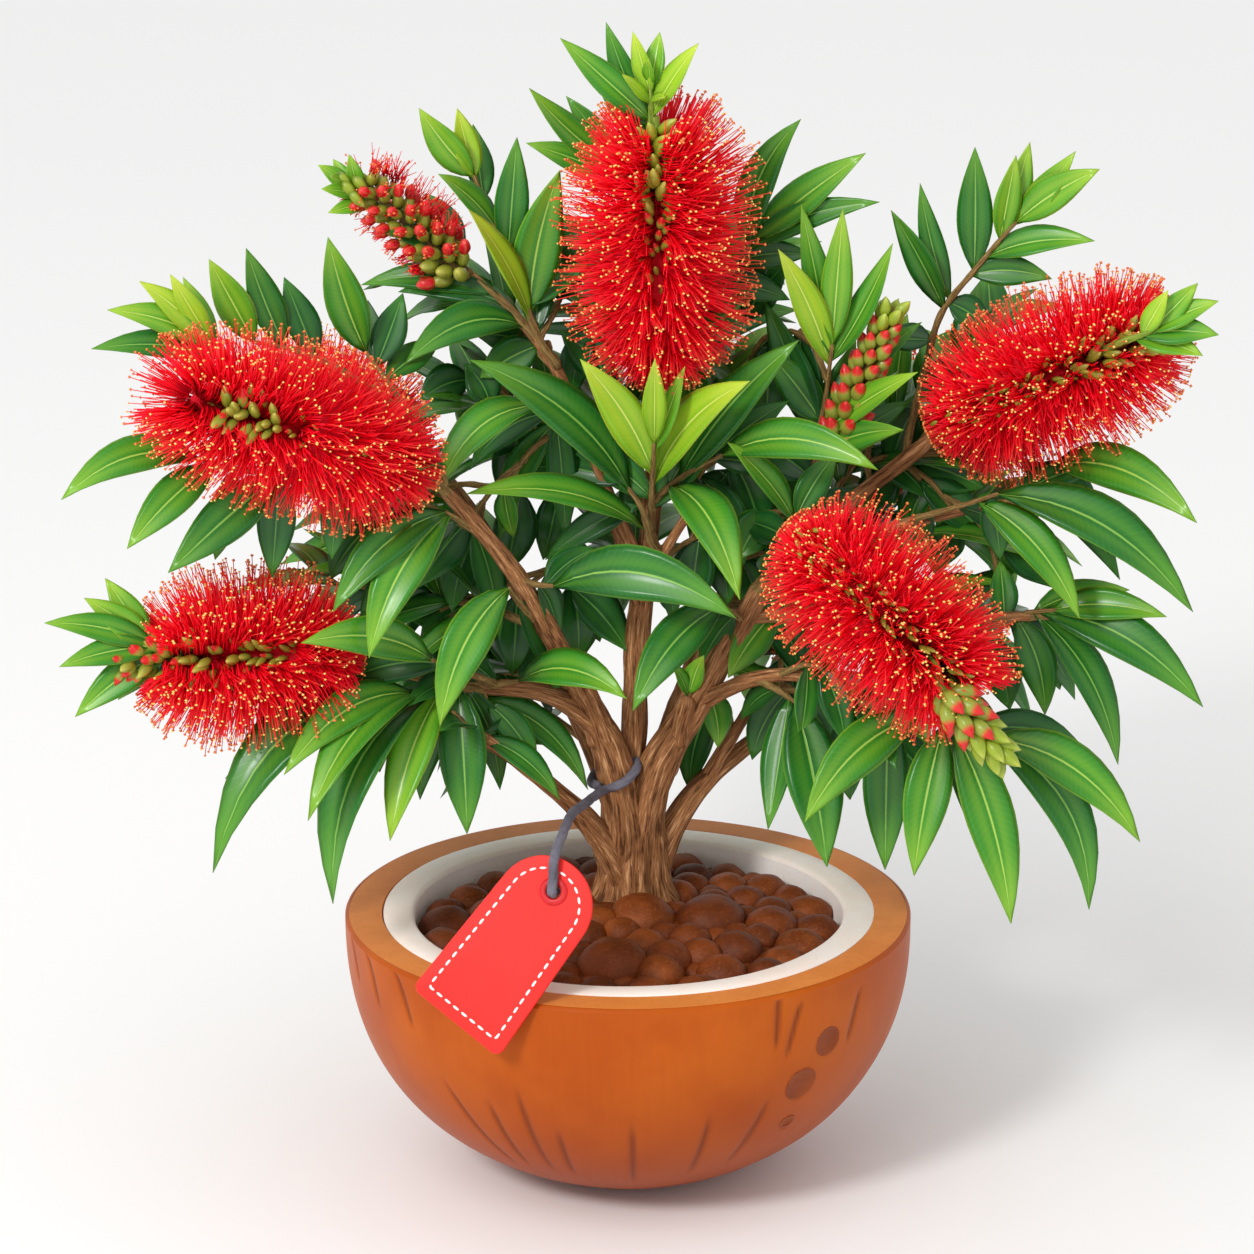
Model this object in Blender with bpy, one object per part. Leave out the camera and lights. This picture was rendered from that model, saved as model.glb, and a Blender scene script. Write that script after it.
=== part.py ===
"""Bottlebrush plant in a half coconut bowl.

Units are metres, +Z is up. The origin is the centre of the bowl's flat
underside, the plant's front faces -Y. Sizes below are in millimetres and
are turned into metres by MM.
"""
import math

import bpy
import bmesh
from mathutils import Vector

MM = 0.001

# ---------------------------------------------------------------- sizes, mm
CLEAR = 0.55            # inflation of a neighbour before it is cut away
RIM_Z = 95.0            # height of the bowl's cut rim
RIM_R = 100.6           # outer radius at the rim
FLESH_R = 87.3          # where the husk meets the pale flesh
MOUTH_R = 76.3          # inner radius of the mouth
BOWL_SIDES = 24
FLESH_FLOOR = 22.0      # height of the bowl's inner floor
BED_EDGE_Z = 84.0       # clay balls at the wall
BED_TOP_Z = 93.6        # flat top of the mound, where the trunk stands
BED_TOP_R = 19.0

TAG_W, TAG_L, TAG_T = 38.0, 67.2, 1.6
TAG_TOP_R = 17.2                 # its round top
TAG_HOLE_R, TAG_HOLE_Y = 3.2, 6.3
TAG_SHIFT = (-7.0, 34.0)         # along the rim and up, from where it touches
TAG_YAW = math.radians(14.0)     # turned to lie along the rim
TAG_LEAN = math.radians(20.0)    # leaning back over the rim
TAG_ROLL = math.radians(-33.0)   # top leans to the right
STRING_D = 3.4

TRUNK_FOOT = (1.0, 16.0)         # centre of the flat cut
LIMB_SIDES = 6

# A limb: ground points (x, y, z) of its axis with the radius there, from
# the point inside its parent to its tip.
LIMBS = {
    "left_stem": [(-2, 10, 122, 7.4), (-5, 9, 146, 6.4), (-10, 7, 160, 5.8),
                  (-20, 3, 170, 4.6), (-34, -2, 177, 3.6), (-52, -8, 180, 2.8)],
    "right_bough": [(5, 13, 122, 7.6), (11, 12, 145, 6.6), (21, 10, 163, 5.8),
                    (33, 6, 186, 5.0), (46, 2, 212, 4.2)],
    "right_upper_bough": [(46.2, 2, 212.4, 4.1), (60, 9, 226, 3.8), (85, 20, 245, 3.3),
                          (101, 23, 257, 3.0), (113, 19, 269, 2.5)],
    "left_bough": [(-9, 8, 156, 5.6), (-14, 2, 172, 5.0), (-24, -8, 194, 4.4),
                   (-37, -21, 222, 3.7), (-50, -31, 243, 3.2), (-62, -38, 259, 2.5)],
    "low_left_bough": [(-3, 13, 104, 6.2), (-11, 5, 121, 5.0), (-20, -3, 135, 4.0),
                       (-34, -13, 151, 3.2), (-50, -20, 165, 2.6)],
    "right_low_bough": [(8, 17, 103, 6.4), (22, 22, 128, 4.6), (38, 33, 141, 3.6),
                        (58, 46, 152, 2.6)],
    "centre_bough": [(1, 15, 134, 5.2), (2, 16, 156, 4.8), (3, 17, 190, 4.6),
                     (6, 18, 215, 4.2), (9, 14, 250, 3.6), (8, 4, 288, 2.8)],
    "upper_left_bough": [(4, 16, 204, 3.4), (-6, 13, 240, 2.9), (-15, 11, 264, 2.6),
                         (-25, 11, 290, 2.4), (-38, 14, 307, 2.1), (-54, 19, 321, 1.8)],
    "right_side_bough": [(25, 9, 169, 3.8), (43, -6, 182, 3.0), (60, -14, 186, 2.6),
                         (75, -21, 181, 2.1)],
    "far_right_bough": [(56, 6, 222, 3.2), (79, 6, 230, 2.7), (103, 3, 238, 2.3),
                        (128, -3, 245, 1.8)],
    "far_right_low_bough": [(41, 4, 202, 3.2), (72, 6, 203, 2.8), (104, 0, 203, 2.4),
                            (140, -9, 206, 1.8)],
    "back_left_bough": [(-1, 15, 118, 5.6), (-13, 31, 146, 4.6), (-34, 52, 186, 3.8),
                        (-58, 70, 224, 3.0), (-76, 80, 242, 2.3)],
    "back_right_bough": [(4, 18, 120, 5.6), (15, 36, 150, 4.6), (34, 56, 192, 3.8),
                         (58, 66, 226, 3.0), (84, 70, 243, 2.3)],
    "back_bough": [(3, 18, 168, 4.2), (6, 34, 200, 3.6), (10, 54, 242, 3.0),
                   (12, 68, 275, 2.4)],
}

# A bloom: foot and tip of its axis, radius of its bristles, rounding.
BLOOMS = {
    "bloom_top": ((8, 0, 293), (8, -13, 378), 33.0, 33.0),
    "bloom_upper_left": ((-66, -42, 263), (-142, -84, 300), 32.0, 31.0),
    "bloom_lower_left": ((-98, -31, 199), (-166, -54, 208), 31.0, 31.0),
    "bloom_upper_right": ((117, 14, 276), (184, -3, 308), 31.0, 30.0),
    "bloom_lower_right": ((66, -44, 240), (112, -72, 196), 32.0, 30.0),
    "bloom_half_open": ((-56, 20, 321), (-106, 10, 361), 16.5, 10.0),
    "bloom_in_bud": ((66, 15, 256), (97, 6, 318), 10.0, 9.0),
    "bloom_back_top": ((13, 72, 280), (18, 116, 322), 30.0, 30.0),
    "bloom_back_left": ((-79, 86, 243), (-132, 122, 254), 30.0, 29.0),
    "bloom_back_right": ((90, 78, 244), (144, 112, 254), 30.0, 29.0),
    "bloom_back_low": ((52, 68, 186), (86, 120, 194), 29.0, 28.0),
}

# A mass of leaves: where it springs from, its far tip, half width, half
# thickness, how far its middle is lifted, and the way its flat side looks.
MASSES = {
    "leaves_top_tuft": ((7, -13, 385), (3, -13, 419), 24, 12, 0, "front"),
    "leaves_top_back": ((-38, 24, 356), (92, 26, 352), 20, 9, 12, "front"),
    "leaves_upper_left_twig": ((-36, 13, 304), (-56, 4, 388), 27, 13, 0, "front"),
    "leaves_upper_left_side": ((-30, 9, 298), (-98, -6, 316), 16, 9, 10, "front"),
    "leaves_centre_left": ((2, 0, 250), (-64, -36, 284), 24, 11, 8, "front"),
    "leaves_centre_top": ((8, -8, 252), (13, -36, 312), 32, 11, 0, "front"),
    "leaves_centre_right": ((26, 2, 254), (84, -30, 284), 25, 11, 8, "front"),
    "leaves_centre_low": ((-22, -2, 214), (44, -50, 214), 21, 9, 8, "front"),
    "leaves_left_above": ((-84, -14, 306), (-137, -28, 345), 23, 11, 4, "front"),
    "leaves_left_tuft": ((-138, -48, 315), (-180, -62, 330), 17, 9, 3, "front"),
    "leaves_left_below": ((-104, -44, 246), (-190, -72, 250), 21, 10, 8, "up"),
    "leaves_lower_left_tuft": ((-163, -54, 210), (-200, -60, 214), 24, 9, 0, "front"),
    "leaves_left_mid": ((-46, -30, 238), (-90, -64, 202), 26, 12, 8, "front"),
    "leaves_low_left_outer": ((-66, -24, 188), (-141, -68, 131), 25, 12, 12, "front"),
    "leaves_low_left_inner": ((-54, -16, 178), (-82, -44, 112), 24, 11, 6, "front"),
    "leaves_right_above": ((71, 10, 292), (72, 0, 357), 26, 11, 0, "front"),
    "leaves_upper_right_twig": ((104, 30, 298), (142, 24, 372), 34, 12, 0, "front"),
    "leaves_upper_right_tip": ((186, -3, 309), (208, -8, 314), 14, 8, 0, "front"),
    "leaves_right_mid": ((112, 0, 246), (200, -34, 226), 27, 11, 12, "up"),
    "leaves_right_low": ((132, -6, 206), (201, -36, 178), 23, 11, 8, "up"),
    "leaves_low_right_outer": ((116, -34, 176), (178, -50, 120), 25, 12, 10, "front"),
    "leaves_low_right_droop": ((96, -42, 178), (118, -66, 108), 27, 11, 4, "front"),
    "leaves_low_right_inner": ((62, -18, 178), (60, -46, 124), 24, 11, 3, "front"),
    "leaves_inner_left": ((-8, 22, 224), (-62, 20, 262), 24, 16, 0, "front"),
    "leaves_inner_right": ((26, 20, 218), (82, 28, 268), 26, 16, 0, "front"),
    "leaves_back_left": ((-36, 66, 210), (-116, 138, 208), 36, 15, 10, "back"),
    "leaves_back_right": ((40, 66, 232), (128, 140, 212), 34, 15, 10, "back"),
    "leaves_back_top": ((10, 40, 284), (-22, 118, 296), 42, 13, 14, "up"),
    "leaves_back_low": ((0, 50, 196), (-10, 142, 152), 44, 14, 14, "up"),
}

# sRGB colours of the pieces
COLOURS = {
    "husk": (198, 98, 38), "flesh": (250, 234, 220), "clay_ball": (104, 50, 24),
    "bark": (125, 85, 60), "leaf": (40, 112, 42), "young_leaf": (120, 178, 42),
    "bristle": (214, 18, 32), "bud": (150, 158, 60),
    "card": (255, 78, 78), "string": (104, 102, 112),
}
ROUGH = {"husk": 0.42, "flesh": 0.5, "clay_ball": 0.6, "bark": 0.8, "leaf": 0.35,
         "young_leaf": 0.38, "bristle": 0.6, "bud": 0.5, "card": 0.45, "string": 0.8}


# ------------------------------------------------------------------ helpers
def linear(channel):
    c = channel / 255.0
    return c / 12.92 if c <= 0.04045 else ((c + 0.055) / 1.055) ** 2.4


def material(slot, _made={}):
    if slot not in _made:
        mat = bpy.data.materials.new(slot)
        mat.use_nodes = True
        bsdf = mat.node_tree.nodes["Principled BSDF"]
        bsdf.inputs["Base Color"].default_value = (*[linear(c) for c in COLOURS[slot]], 1.0)
        bsdf.inputs["Roughness"].default_value = ROUGH[slot]
        bsdf.inputs["Metallic"].default_value = 0.0
        _made[slot] = mat
    return _made[slot]


def wave(seed, *args):
    """smooth, repeatable unevenness between -1 and 1"""
    total = 0.0
    for k in range(1, 4):
        phase = seed * 1.7 * k + 0.9 * k
        for i, a in enumerate(args):
            phase += a * (1.3 + 0.61 * k + 0.37 * i)
        total += math.sin(phase + 1.9 * math.sin(phase * 0.53 + seed))
    return total / 3.0


def smooth_path(points, per_span):
    """Catmull-Rom curve through points of any number of components"""
    pts = [tuple(2 * a - b for a, b in zip(points[0], points[1]))] + list(points)
    pts.append(tuple(2 * a - b for a, b in zip(points[-1], points[-2])))
    out = []
    for i in range(1, len(pts) - 2):
        p0, p1, p2, p3 = pts[i - 1:i + 3]
        for s in range(per_span):
            t = s / per_span
            out.append(tuple(
                0.5 * (2 * b + (c - a) * t + (2 * a - 5 * b + 4 * c - d) * t * t
                       + (3 * b - a - 3 * c + d) * t ** 3)
                for a, b, c, d in zip(p0, p1, p2, p3)))
    out.append(tuple(pts[-2]))
    return out


def frames(axis, first=None):
    """side and normal directions carried along an axis without twist"""
    out = []
    side = None
    for i, p in enumerate(axis):
        a = axis[max(i - 1, 0)]
        b = axis[min(i + 1, len(axis) - 1)]
        t = (b - a).normalized()
        if side is None:
            guess = Vector(first) if first else Vector((1, 0, 0))
            if abs(guess.normalized().dot(t)) > 0.95:
                guess = Vector((0, 1, 0))
            side = guess
        side = (side - t * side.dot(t)).normalized()
        out.append((t, side, t.cross(side).normalized()))
    return out


def mesh_object(name, verts, faces, slot, smooth=True):
    me = bpy.data.meshes.new(name)
    me.from_pydata([tuple(c * MM for c in v) for v in verts], [], faces)
    bm = bmesh.new()
    bm.from_mesh(me)
    bmesh.ops.recalc_face_normals(bm, faces=bm.faces)
    bmesh.ops.triangulate(bm, faces=bm.faces)
    bm.to_mesh(me)
    bm.free()
    ob = bpy.data.objects.new(name, me)
    bpy.context.scene.collection.objects.link(ob)
    if slot:
        me.materials.append(material(slot))
    if smooth:
        me.shade_smooth()
        me.set_sharp_from_angle(angle=math.radians(50))
    return ob


def ringed(name, rings, tips, slot):
    """closed skin over rings of points, closed at both ends by tip points
    or, where a tip is None, by a flat face"""
    verts, faces = [], []
    n = len(rings[0])
    for ring in rings:
        verts.extend(ring)
    for k in range(len(rings) - 1):
        for j in range(n):
            a, b = k * n + j, k * n + (j + 1) % n
            faces.append((a, b, b + n, a + n))
    for end, tip in ((0, tips[0]), (len(rings) - 1, tips[1])):
        base = end * n
        if tip is None:
            faces.append(tuple(range(base, base + n)))
        else:
            verts.append(tip)
            for j in range(n):
                faces.append((base + j, base + (j + 1) % n, len(verts) - 1))
    return mesh_object(name, verts, faces, slot)


def turned(name, profile, slot, sides=BOWL_SIDES):
    """solid turned about Z; profile is (r, z) pairs, r = 0 on the axis"""
    verts, faces, rows = [], [], []
    for r, z in profile:
        if r == 0:
            rows.append([len(verts)])
            verts.append((0, 0, z))
        else:
            rows.append(list(range(len(verts), len(verts) + sides)))
            for j in range(sides):
                a = 2 * math.pi * (j + 0.5) / sides
                verts.append((r * math.cos(a), r * math.sin(a), z))
    for k in range(len(rows) - 1):
        a, b = rows[k], rows[k + 1]
        for j in range(sides):
            i = (j + 1) % sides
            if len(a) == 1 and len(b) > 1:
                faces.append((a[0], b[j], b[i]))
            elif len(b) == 1 and len(a) > 1:
                faces.append((a[j], a[i], b[0]))
            elif len(a) > 1:
                faces.append((a[j], a[i], b[i], b[j]))
    return mesh_object(name, verts, faces, slot)


def limb(name, route, grow=0.0, slot="bark", sides=LIMB_SIDES, per_span=2):
    """one tapering limb along a route of (x, y, z, radius)"""
    path = smooth_path(route, per_span)
    axis = [Vector(p[:3]) for p in path]
    if grow:
        axis[0] = axis[0] - (axis[1] - axis[0]).normalized() * grow
        axis[-1] = axis[-1] + (axis[-1] - axis[-2]).normalized() * grow
    rings = []
    for i, (t, s, n) in enumerate(frames(axis)):
        r = max(path[i][3], 1.2) + grow * 1.15
        rings.append([tuple(axis[i] + (s * math.cos(a) + n * math.sin(a)) * r)
                      for a in (2 * math.pi * j / sides for j in range(sides))])
    return ringed(name, rings, (None, None), slot)


def trunk(name="trunk", grow=0.0):
    """fused foot of the stems: lobed root flare at the flat cut, taper and
    a slight lean to the left up to the fork"""
    x0, y0 = TRUNK_FOOT
    levels = [(BED_TOP_Z + 0.4, 15.4, 0.16), (97.5, 12.8, 0.14), (104.0, 11.2, 0.10),
              (112.0, 10.4, 0.07), (121.0, 10.2, 0.05), (129.0, 9.2, 0.04)]
    sides = 14
    rings = []
    for i, (z, r, lobe) in enumerate(levels):
        zz = z + (grow if i == len(levels) - 1 else 0.0) - (grow if i == 0 else 0.0)
        lean = (z - BED_TOP_Z) / 36.0
        cx, cy = x0 + 1.2 * lean, y0 - 4.5 * lean
        ring = []
        for j in range(sides):
            a = 2 * math.pi * j / sides
            rr = r * (1 + lobe * math.cos(5 * a + 0.6)) * (1 + 0.10 * math.cos(2 * a)) + grow * 1.15
            ring.append((cx + rr * math.cos(a), cy + 0.86 * rr * math.sin(a), zz))
        rings.append(ring)
    return ringed(name, rings, (None, None), "bark")


def bloom(name, spec, grow=0.0, slot="bristle"):
    """cylinder of bristles with rounded, uneven ends about its axis"""
    foot, tip, radius, tip_radius = spec
    a, b = Vector(foot), Vector(tip)
    d = (b - a).normalized()
    span = (b - a).length
    seed = sum(ord(c) for c in name) % 17
    side = Vector((0, 0, 1)) if abs(d.z) < 0.8 else Vector((1, 0, 0))
    side = (side - d * side.dot(d)).normalized()
    nor = d.cross(side)
    sides, rows = 11, 6
    rings = []
    lead = 0.26 * radius
    for k in range(rows):
        s = (k + 0.35) / (rows - 0.3)
        along = -lead * 0.35 + (span + lead * 0.9) * s
        body = (1 - abs(2 * s - 1) ** 3.2) ** 0.5
        r = (radius + (tip_radius - radius) * s) * body
        ring = []
        for j in range(sides):
            t = 2 * math.pi * (j + 0.5 * (k % 2)) / sides
            rr = r * (1 + 0.05 * wave(seed, 2 * math.cos(t), 2 * math.sin(t), 3.0 * s)) + grow
            ring.append(tuple(a + d * along + (side * math.cos(t) + nor * math.sin(t)) * rr))
        rings.append(ring)
    ends = (tuple(a - d * (lead * 0.45 + grow)), tuple(b + d * (lead * 0.75 + grow)))
    return ringed(name, rings, ends, slot)


def mass(name, spec, grow=0.0, slot="leaf"):
    """thin, uneven pad of leaves from its spring to its far tip"""
    spring, tip, wide, thick, lift, look = spec
    seed = (sum(ord(c) * (i + 3) for i, c in enumerate(name)) % 29) * 0.7
    a, b = Vector(spring), Vector(tip)
    d = (b - a).normalized()
    facing = {"front": Vector((0, -1, 0.25)), "back": Vector((0, 1, 0.25)),
              "up": Vector((0, -0.35, 1))}[look]
    nor = (facing - d * facing.dot(d)).normalized()
    side = d.cross(nor).normalized()
    up = Vector((0, 0, 1)) - d * d.z
    if up.length < 0.2:
        up = nor
    up.normalize()
    rows, sides = 5, 8
    rings = []
    for k in range(rows):
        s = (k + 0.55) / (rows + 0.1)
        body = math.sin(math.pi * min(max(s, 0), 1) ** 0.85) ** 0.62
        centre = a + (b - a) * s + up * (lift * math.sin(math.pi * s))
        ring = []
        for j in range(sides):
            t = 2 * math.pi * (j + 0.5 * (k % 2)) / sides
            uneven = 1 + 0.17 * wave(seed, 2.2 * math.cos(t), 1.7 * math.sin(t), 5.0 * s)
            ring.append(tuple(centre + side * (math.cos(t) * (wide * body * uneven + grow))
                              + nor * (math.sin(t) * (thick * body * uneven + grow))))
        rings.append(ring)
    return ringed(name, rings, (tuple(a - d * grow), tuple(b + d * grow)), slot)


def tube(name, route, diameter, slot, grow=0.0, sides=6, per_span=2):
    axis = [Vector(p) for p in smooth_path(route, per_span)]
    if grow:
        axis[0] = axis[0] - (axis[1] - axis[0]).normalized() * grow
        axis[-1] = axis[-1] + (axis[-1] - axis[-2]).normalized() * grow
    rings = []
    for i, (t, s, n) in enumerate(frames(axis)):
        r = diameter / 2 + grow * 1.1
        rings.append([tuple(axis[i] + (s * math.cos(q) + n * math.sin(q)) * r)
                      for q in (2 * math.pi * j / sides for j in range(sides))])
    return ringed(name, rings, (None, None), slot)


def box_of(ob):
    pts = [ob.matrix_world @ v.co for v in ob.data.vertices]
    return ([min(p[i] for p in pts) for i in range(3)], [max(p[i] for p in pts) for i in range(3)])


def near(a, b):
    (al, ah), (bl, bh) = a, b
    return all(al[i] <= bh[i] and bl[i] <= ah[i] for i in range(3))


def subtract(ob, cutters):
    """cuts the cutters out of ob and keeps the largest piece left"""
    if cutters:
        for c in cutters:
            c.hide_render = True
            c.display_type = "WIRE"
            mod = ob.modifiers.new("cut_" + c.name, "BOOLEAN")
            mod.operation = "DIFFERENCE"
            mod.solver = "EXACT"
            mod.object = c
        bpy.context.view_layer.update()
        graph = bpy.context.evaluated_depsgraph_get()
        cut = bpy.data.meshes.new_from_object(ob.evaluated_get(graph))
        ob.modifiers.clear()
        old = ob.data
        ob.data = cut
        bpy.data.meshes.remove(old)
    bm = bmesh.new()
    bm.from_mesh(ob.data)
    bmesh.ops.remove_doubles(bm, verts=bm.verts, dist=0.00002)
    bmesh.ops.dissolve_degenerate(bm, edges=bm.edges, dist=0.00002)
    bmesh.ops.triangulate(bm, faces=bm.faces)
    left = set(bm.faces)
    groups = []
    while left:
        stack = [left.pop()]
        group = list(stack)
        while stack:
            f = stack.pop()
            for e in f.edges:
                for g in e.link_faces:
                    if g in left:
                        left.remove(g)
                        stack.append(g)
                        group.append(g)
        groups.append(group)

    def volume(group):
        return abs(sum(f.verts[0].co.dot(f.verts[1].co.cross(f.verts[2].co)) for f in group))
    groups.sort(key=volume)
    for group in groups[:-1]:
        bmesh.ops.delete(bm, geom=group, context="FACES")
    loose = [v for v in bm.verts if not v.link_faces]
    bmesh.ops.delete(bm, geom=loose, context="VERTS")
    bm.to_mesh(ob.data)
    bm.free()
    return ob


# -------------------------------------------------------------------- build
for old in list(bpy.data.objects):
    bpy.data.objects.remove(old, do_unlink=True)


def outer_wall(z):
    """radius of the coconut at height z: a deep round, cut flat at z = 0"""
    u = min(max((RIM_Z - z) / (RIM_Z + 2.6), 0.0), 1.0)
    return RIM_R * (1 - u ** 2.4) ** 0.5


def inner_wall(z, mouth, floor):
    u = min(max((RIM_Z - z) / (RIM_Z - floor), 0.0), 1.0)
    return mouth * (1 - u ** 2.3) ** 0.5


heights = [0.0, 2.0, 7.0, 16.0, 29.0, 46.0, 66.0, 84.0, RIM_Z]
husk_profile = [(0, 0)] + [(outer_wall(z), z) for z in heights]
FLOOR_HUSK = 11.0
inner_heights = [RIM_Z, 78.0, 58.0, 38.0, 23.0, 14.0]
husk_profile += [(inner_wall(z, FLESH_R, FLOOR_HUSK), z) for z in inner_heights]
husk_profile += [(0, FLOOR_HUSK)]
pot_husk = turned("pot_husk", husk_profile, "husk")

GAP = 0.35
flesh_profile = [(0, FLOOR_HUSK + GAP)]
flesh_profile += [(inner_wall(z, FLESH_R, FLOOR_HUSK) - GAP * 1.3, z + GAP * 0.6)
                  for z in reversed(inner_heights[1:])]
flesh_profile += [(FLESH_R - GAP, RIM_Z)]
flesh_profile += [(inner_wall(z, MOUTH_R, FLESH_FLOOR), z)
                  for z in (RIM_Z, 76.0, 58.0, 42.0, 30.0)]
flesh_profile += [(0, FLESH_FLOOR)]
pot_flesh = turned("pot_flesh", flesh_profile, "flesh")

# bed of clay balls: fills the flesh lining, its top a low uneven mound
sides = BOWL_SIDES
bed_rings = []
for z in (30.0 + GAP, 42.0 + GAP, 58.0 + GAP, 76.0 + GAP, BED_EDGE_Z):
    r = inner_wall(min(z, RIM_Z), MOUTH_R, FLESH_FLOOR) - GAP * 2.2
    bed_rings.append([(r * math.cos(2 * math.pi * (j + 0.5) / sides),
                       r * math.sin(2 * math.pi * (j + 0.5) / sides), z) for j in range(sides)])
tx, ty = TRUNK_FOOT
for f in (0.80, 0.62, 0.45, 0.28):
    ring = []
    for j in range(sides):
        a = 2 * math.pi * (j + 0.5) / sides
        edge = inner_wall(BED_EDGE_Z, MOUTH_R, FLESH_FLOOR) - GAP * 2
        rr = BED_TOP_R + (edge - BED_TOP_R) * (f - 0.25) / 0.75
        z = BED_EDGE_Z + (BED_TOP_Z - BED_EDGE_Z) * (1 - ((f - 0.25) / 0.75) ** 1.6)
        if f > 0.3:
            z += 1.3 * wave(5, 9 * math.cos(a) * f, 9 * math.sin(a) * f)
            z = min(z, BED_TOP_Z + 1.5)
        else:
            z = BED_TOP_Z
        w = 1 - (f - 0.28) / 0.72
        ring.append((tx * w + rr * math.cos(a), ty * w + rr * math.sin(a), z))
    bed_rings.append(ring)
ball_bed = ringed("clay_ball_bed", bed_rings, ((0, 0, FLESH_FLOOR + GAP + 0.2), None), "clay_ball")


# tag: a card with a round top and a hole, leaning on the rim. Its own
# origin is the centre of the round top, on the back face.
def tag_frame():
    out = Vector((-math.sin(TAG_YAW), -math.cos(TAG_YAW), 0))
    right = Vector((math.cos(TAG_YAW), -math.sin(TAG_YAW), 0))
    nor = out * math.cos(TAG_LEAN) + Vector((0, 0, 1)) * math.sin(TAG_LEAN)
    up = nor.cross(right).normalized()
    x_axis = right * math.cos(TAG_ROLL) + up * math.sin(TAG_ROLL)
    y_axis = -right * math.sin(TAG_ROLL) + up * math.cos(TAG_ROLL)
    touch = out * (RIM_R + 0.9) + Vector((0, 0, RIM_Z))
    return touch + right * TAG_SHIFT[0] + up * TAG_SHIFT[1], x_axis, y_axis, nor, up


TAG_ORIGIN, TAG_X, TAG_Y, TAG_N, TAG_UP = tag_frame()


def tag_point(x, y, out=0.0):
    return TAG_ORIGIN + TAG_X * x + TAG_Y * y + TAG_N * out


def tag_outline():
    w, l, c = TAG_W / 2, TAG_L - TAG_TOP_R, 3.0
    pts = []
    for cx, cy, a0 in ((-w + c, -l + c, math.pi), (w - c, -l + c, 1.5 * math.pi)):
        for k in range(4):
            a = a0 + k * math.pi / 6
            pts.append((cx + c * math.cos(a), cy + c * math.sin(a)))
    for k in range(13):
        a = math.pi * k / 12
        pts.append((TAG_TOP_R * math.cos(a), TAG_TOP_R * math.sin(a)))
    return pts


outline = tag_outline()
n = len(outline)
hole = []
for k in range(n):
    a = math.atan2(outline[k][1] - TAG_HOLE_Y, outline[k][0])
    hole.append((TAG_HOLE_R * math.cos(a), TAG_HOLE_Y + TAG_HOLE_R * math.sin(a)))
verts = []
for out in (0.0, TAG_T):
    verts += [tuple(tag_point(x, y, out)) for x, y in outline]
    verts += [tuple(tag_point(x, y, out)) for x, y in hole]
faces = []
for j in range(n):
    i = (j + 1) % n
    faces += [(j, i, n + i, n + j), (2 * n + j, 2 * n + i, 3 * n + i, 3 * n + j),
              (j, i, 2 * n + i, 2 * n + j), (n + j, n + i, 3 * n + i, 3 * n + j)]
card = mesh_object("tag", verts, faces, "card")

# string: from the hole over the top edge, back to the fork and once round
# the left stem, square to it
h = tag_point(0, TAG_HOLE_Y, TAG_T + STRING_D * 0.62)
loop_c, loop_t = Vector((-4.4, 9.3, 141.5)), Vector((-0.42, -0.15, 0.89)).normalized()
loop_r = 6.6 + STRING_D / 2 + 0.5
loop_s = Vector((0, -1, 0)) - loop_t * loop_t.dot(Vector((0, -1, 0)))
loop_s.normalize()
loop_n = loop_t.cross(loop_s)
STRING = [tuple(h + TAG_UP * -0.4), tuple(h + TAG_UP * 5 + TAG_N * 0.5),
          tuple(h + TAG_UP * 12.5 + TAG_N * 0.3), tuple(h + TAG_UP * 17.5 - TAG_N * 5.5),
          (-19.5, -54, 148.5), (-16.5, -28, 142.5)]
for k in range(7):
    turn = math.radians(-38 + 46 * k)
    STRING.append(tuple(loop_c + (loop_s * math.cos(turn) + loop_n * math.sin(turn)) * loop_r
                        + loop_t * (k * 0.25)))
tag_string = tube("tag_string", STRING, STRING_D, "string")

placed = []            # (name, box, function that makes its inflated copy)


def place(name, ob, inflated):
    before = len(ob.data.polygons)
    lo_hi = box_of(ob)
    cutters = []
    for other, box, make in placed:
        if make and near(lo_hi, box):
            c = make(CLEAR)
            c.name = "cutter_" + other
            cutters.append(c)
    subtract(ob, cutters)
    for c in cutters:
        me = c.data
        bpy.data.objects.remove(c, do_unlink=True)
        bpy.data.meshes.remove(me)
    lo, hi = box_of(ob)
    pad = CLEAR * 2 * MM
    placed.append((name, ([v - pad for v in lo], [v + pad for v in hi]), inflated))


def string_inflated(g):
    return tube("cut", STRING, STRING_D, None, g)


placed.append(("tag_string", tuple([f(v, CLEAR * 2 * MM) for v in side] for f, side in
                                   zip((lambda v, p: v - p, lambda v, p: v + p), box_of(tag_string))),
               string_inflated))
place("trunk", trunk(), lambda g: trunk("cut", g))
for name, route in LIMBS.items():
    place(name, limb(name, route), lambda g, r=route: limb("cut", r, g))
for name, spec in BLOOMS.items():
    slot = "bud" if name == "bloom_in_bud" else "bristle"
    place(name, bloom(name, spec, 0.0, slot),
          lambda g, nn=name, ss=spec: bloom(nn, ss, g))
for name, spec in MASSES.items():
    slot = "young_leaf" if "tuft" in name or "tip" in name else "leaf"
    place(name, mass(name, spec, 0.0, slot),
          lambda g, nn=name, ss=spec: mass(nn, ss, g))
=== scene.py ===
import math
import random

import bpy
import bmesh
import numpy as np
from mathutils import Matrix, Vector, noise


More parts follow.
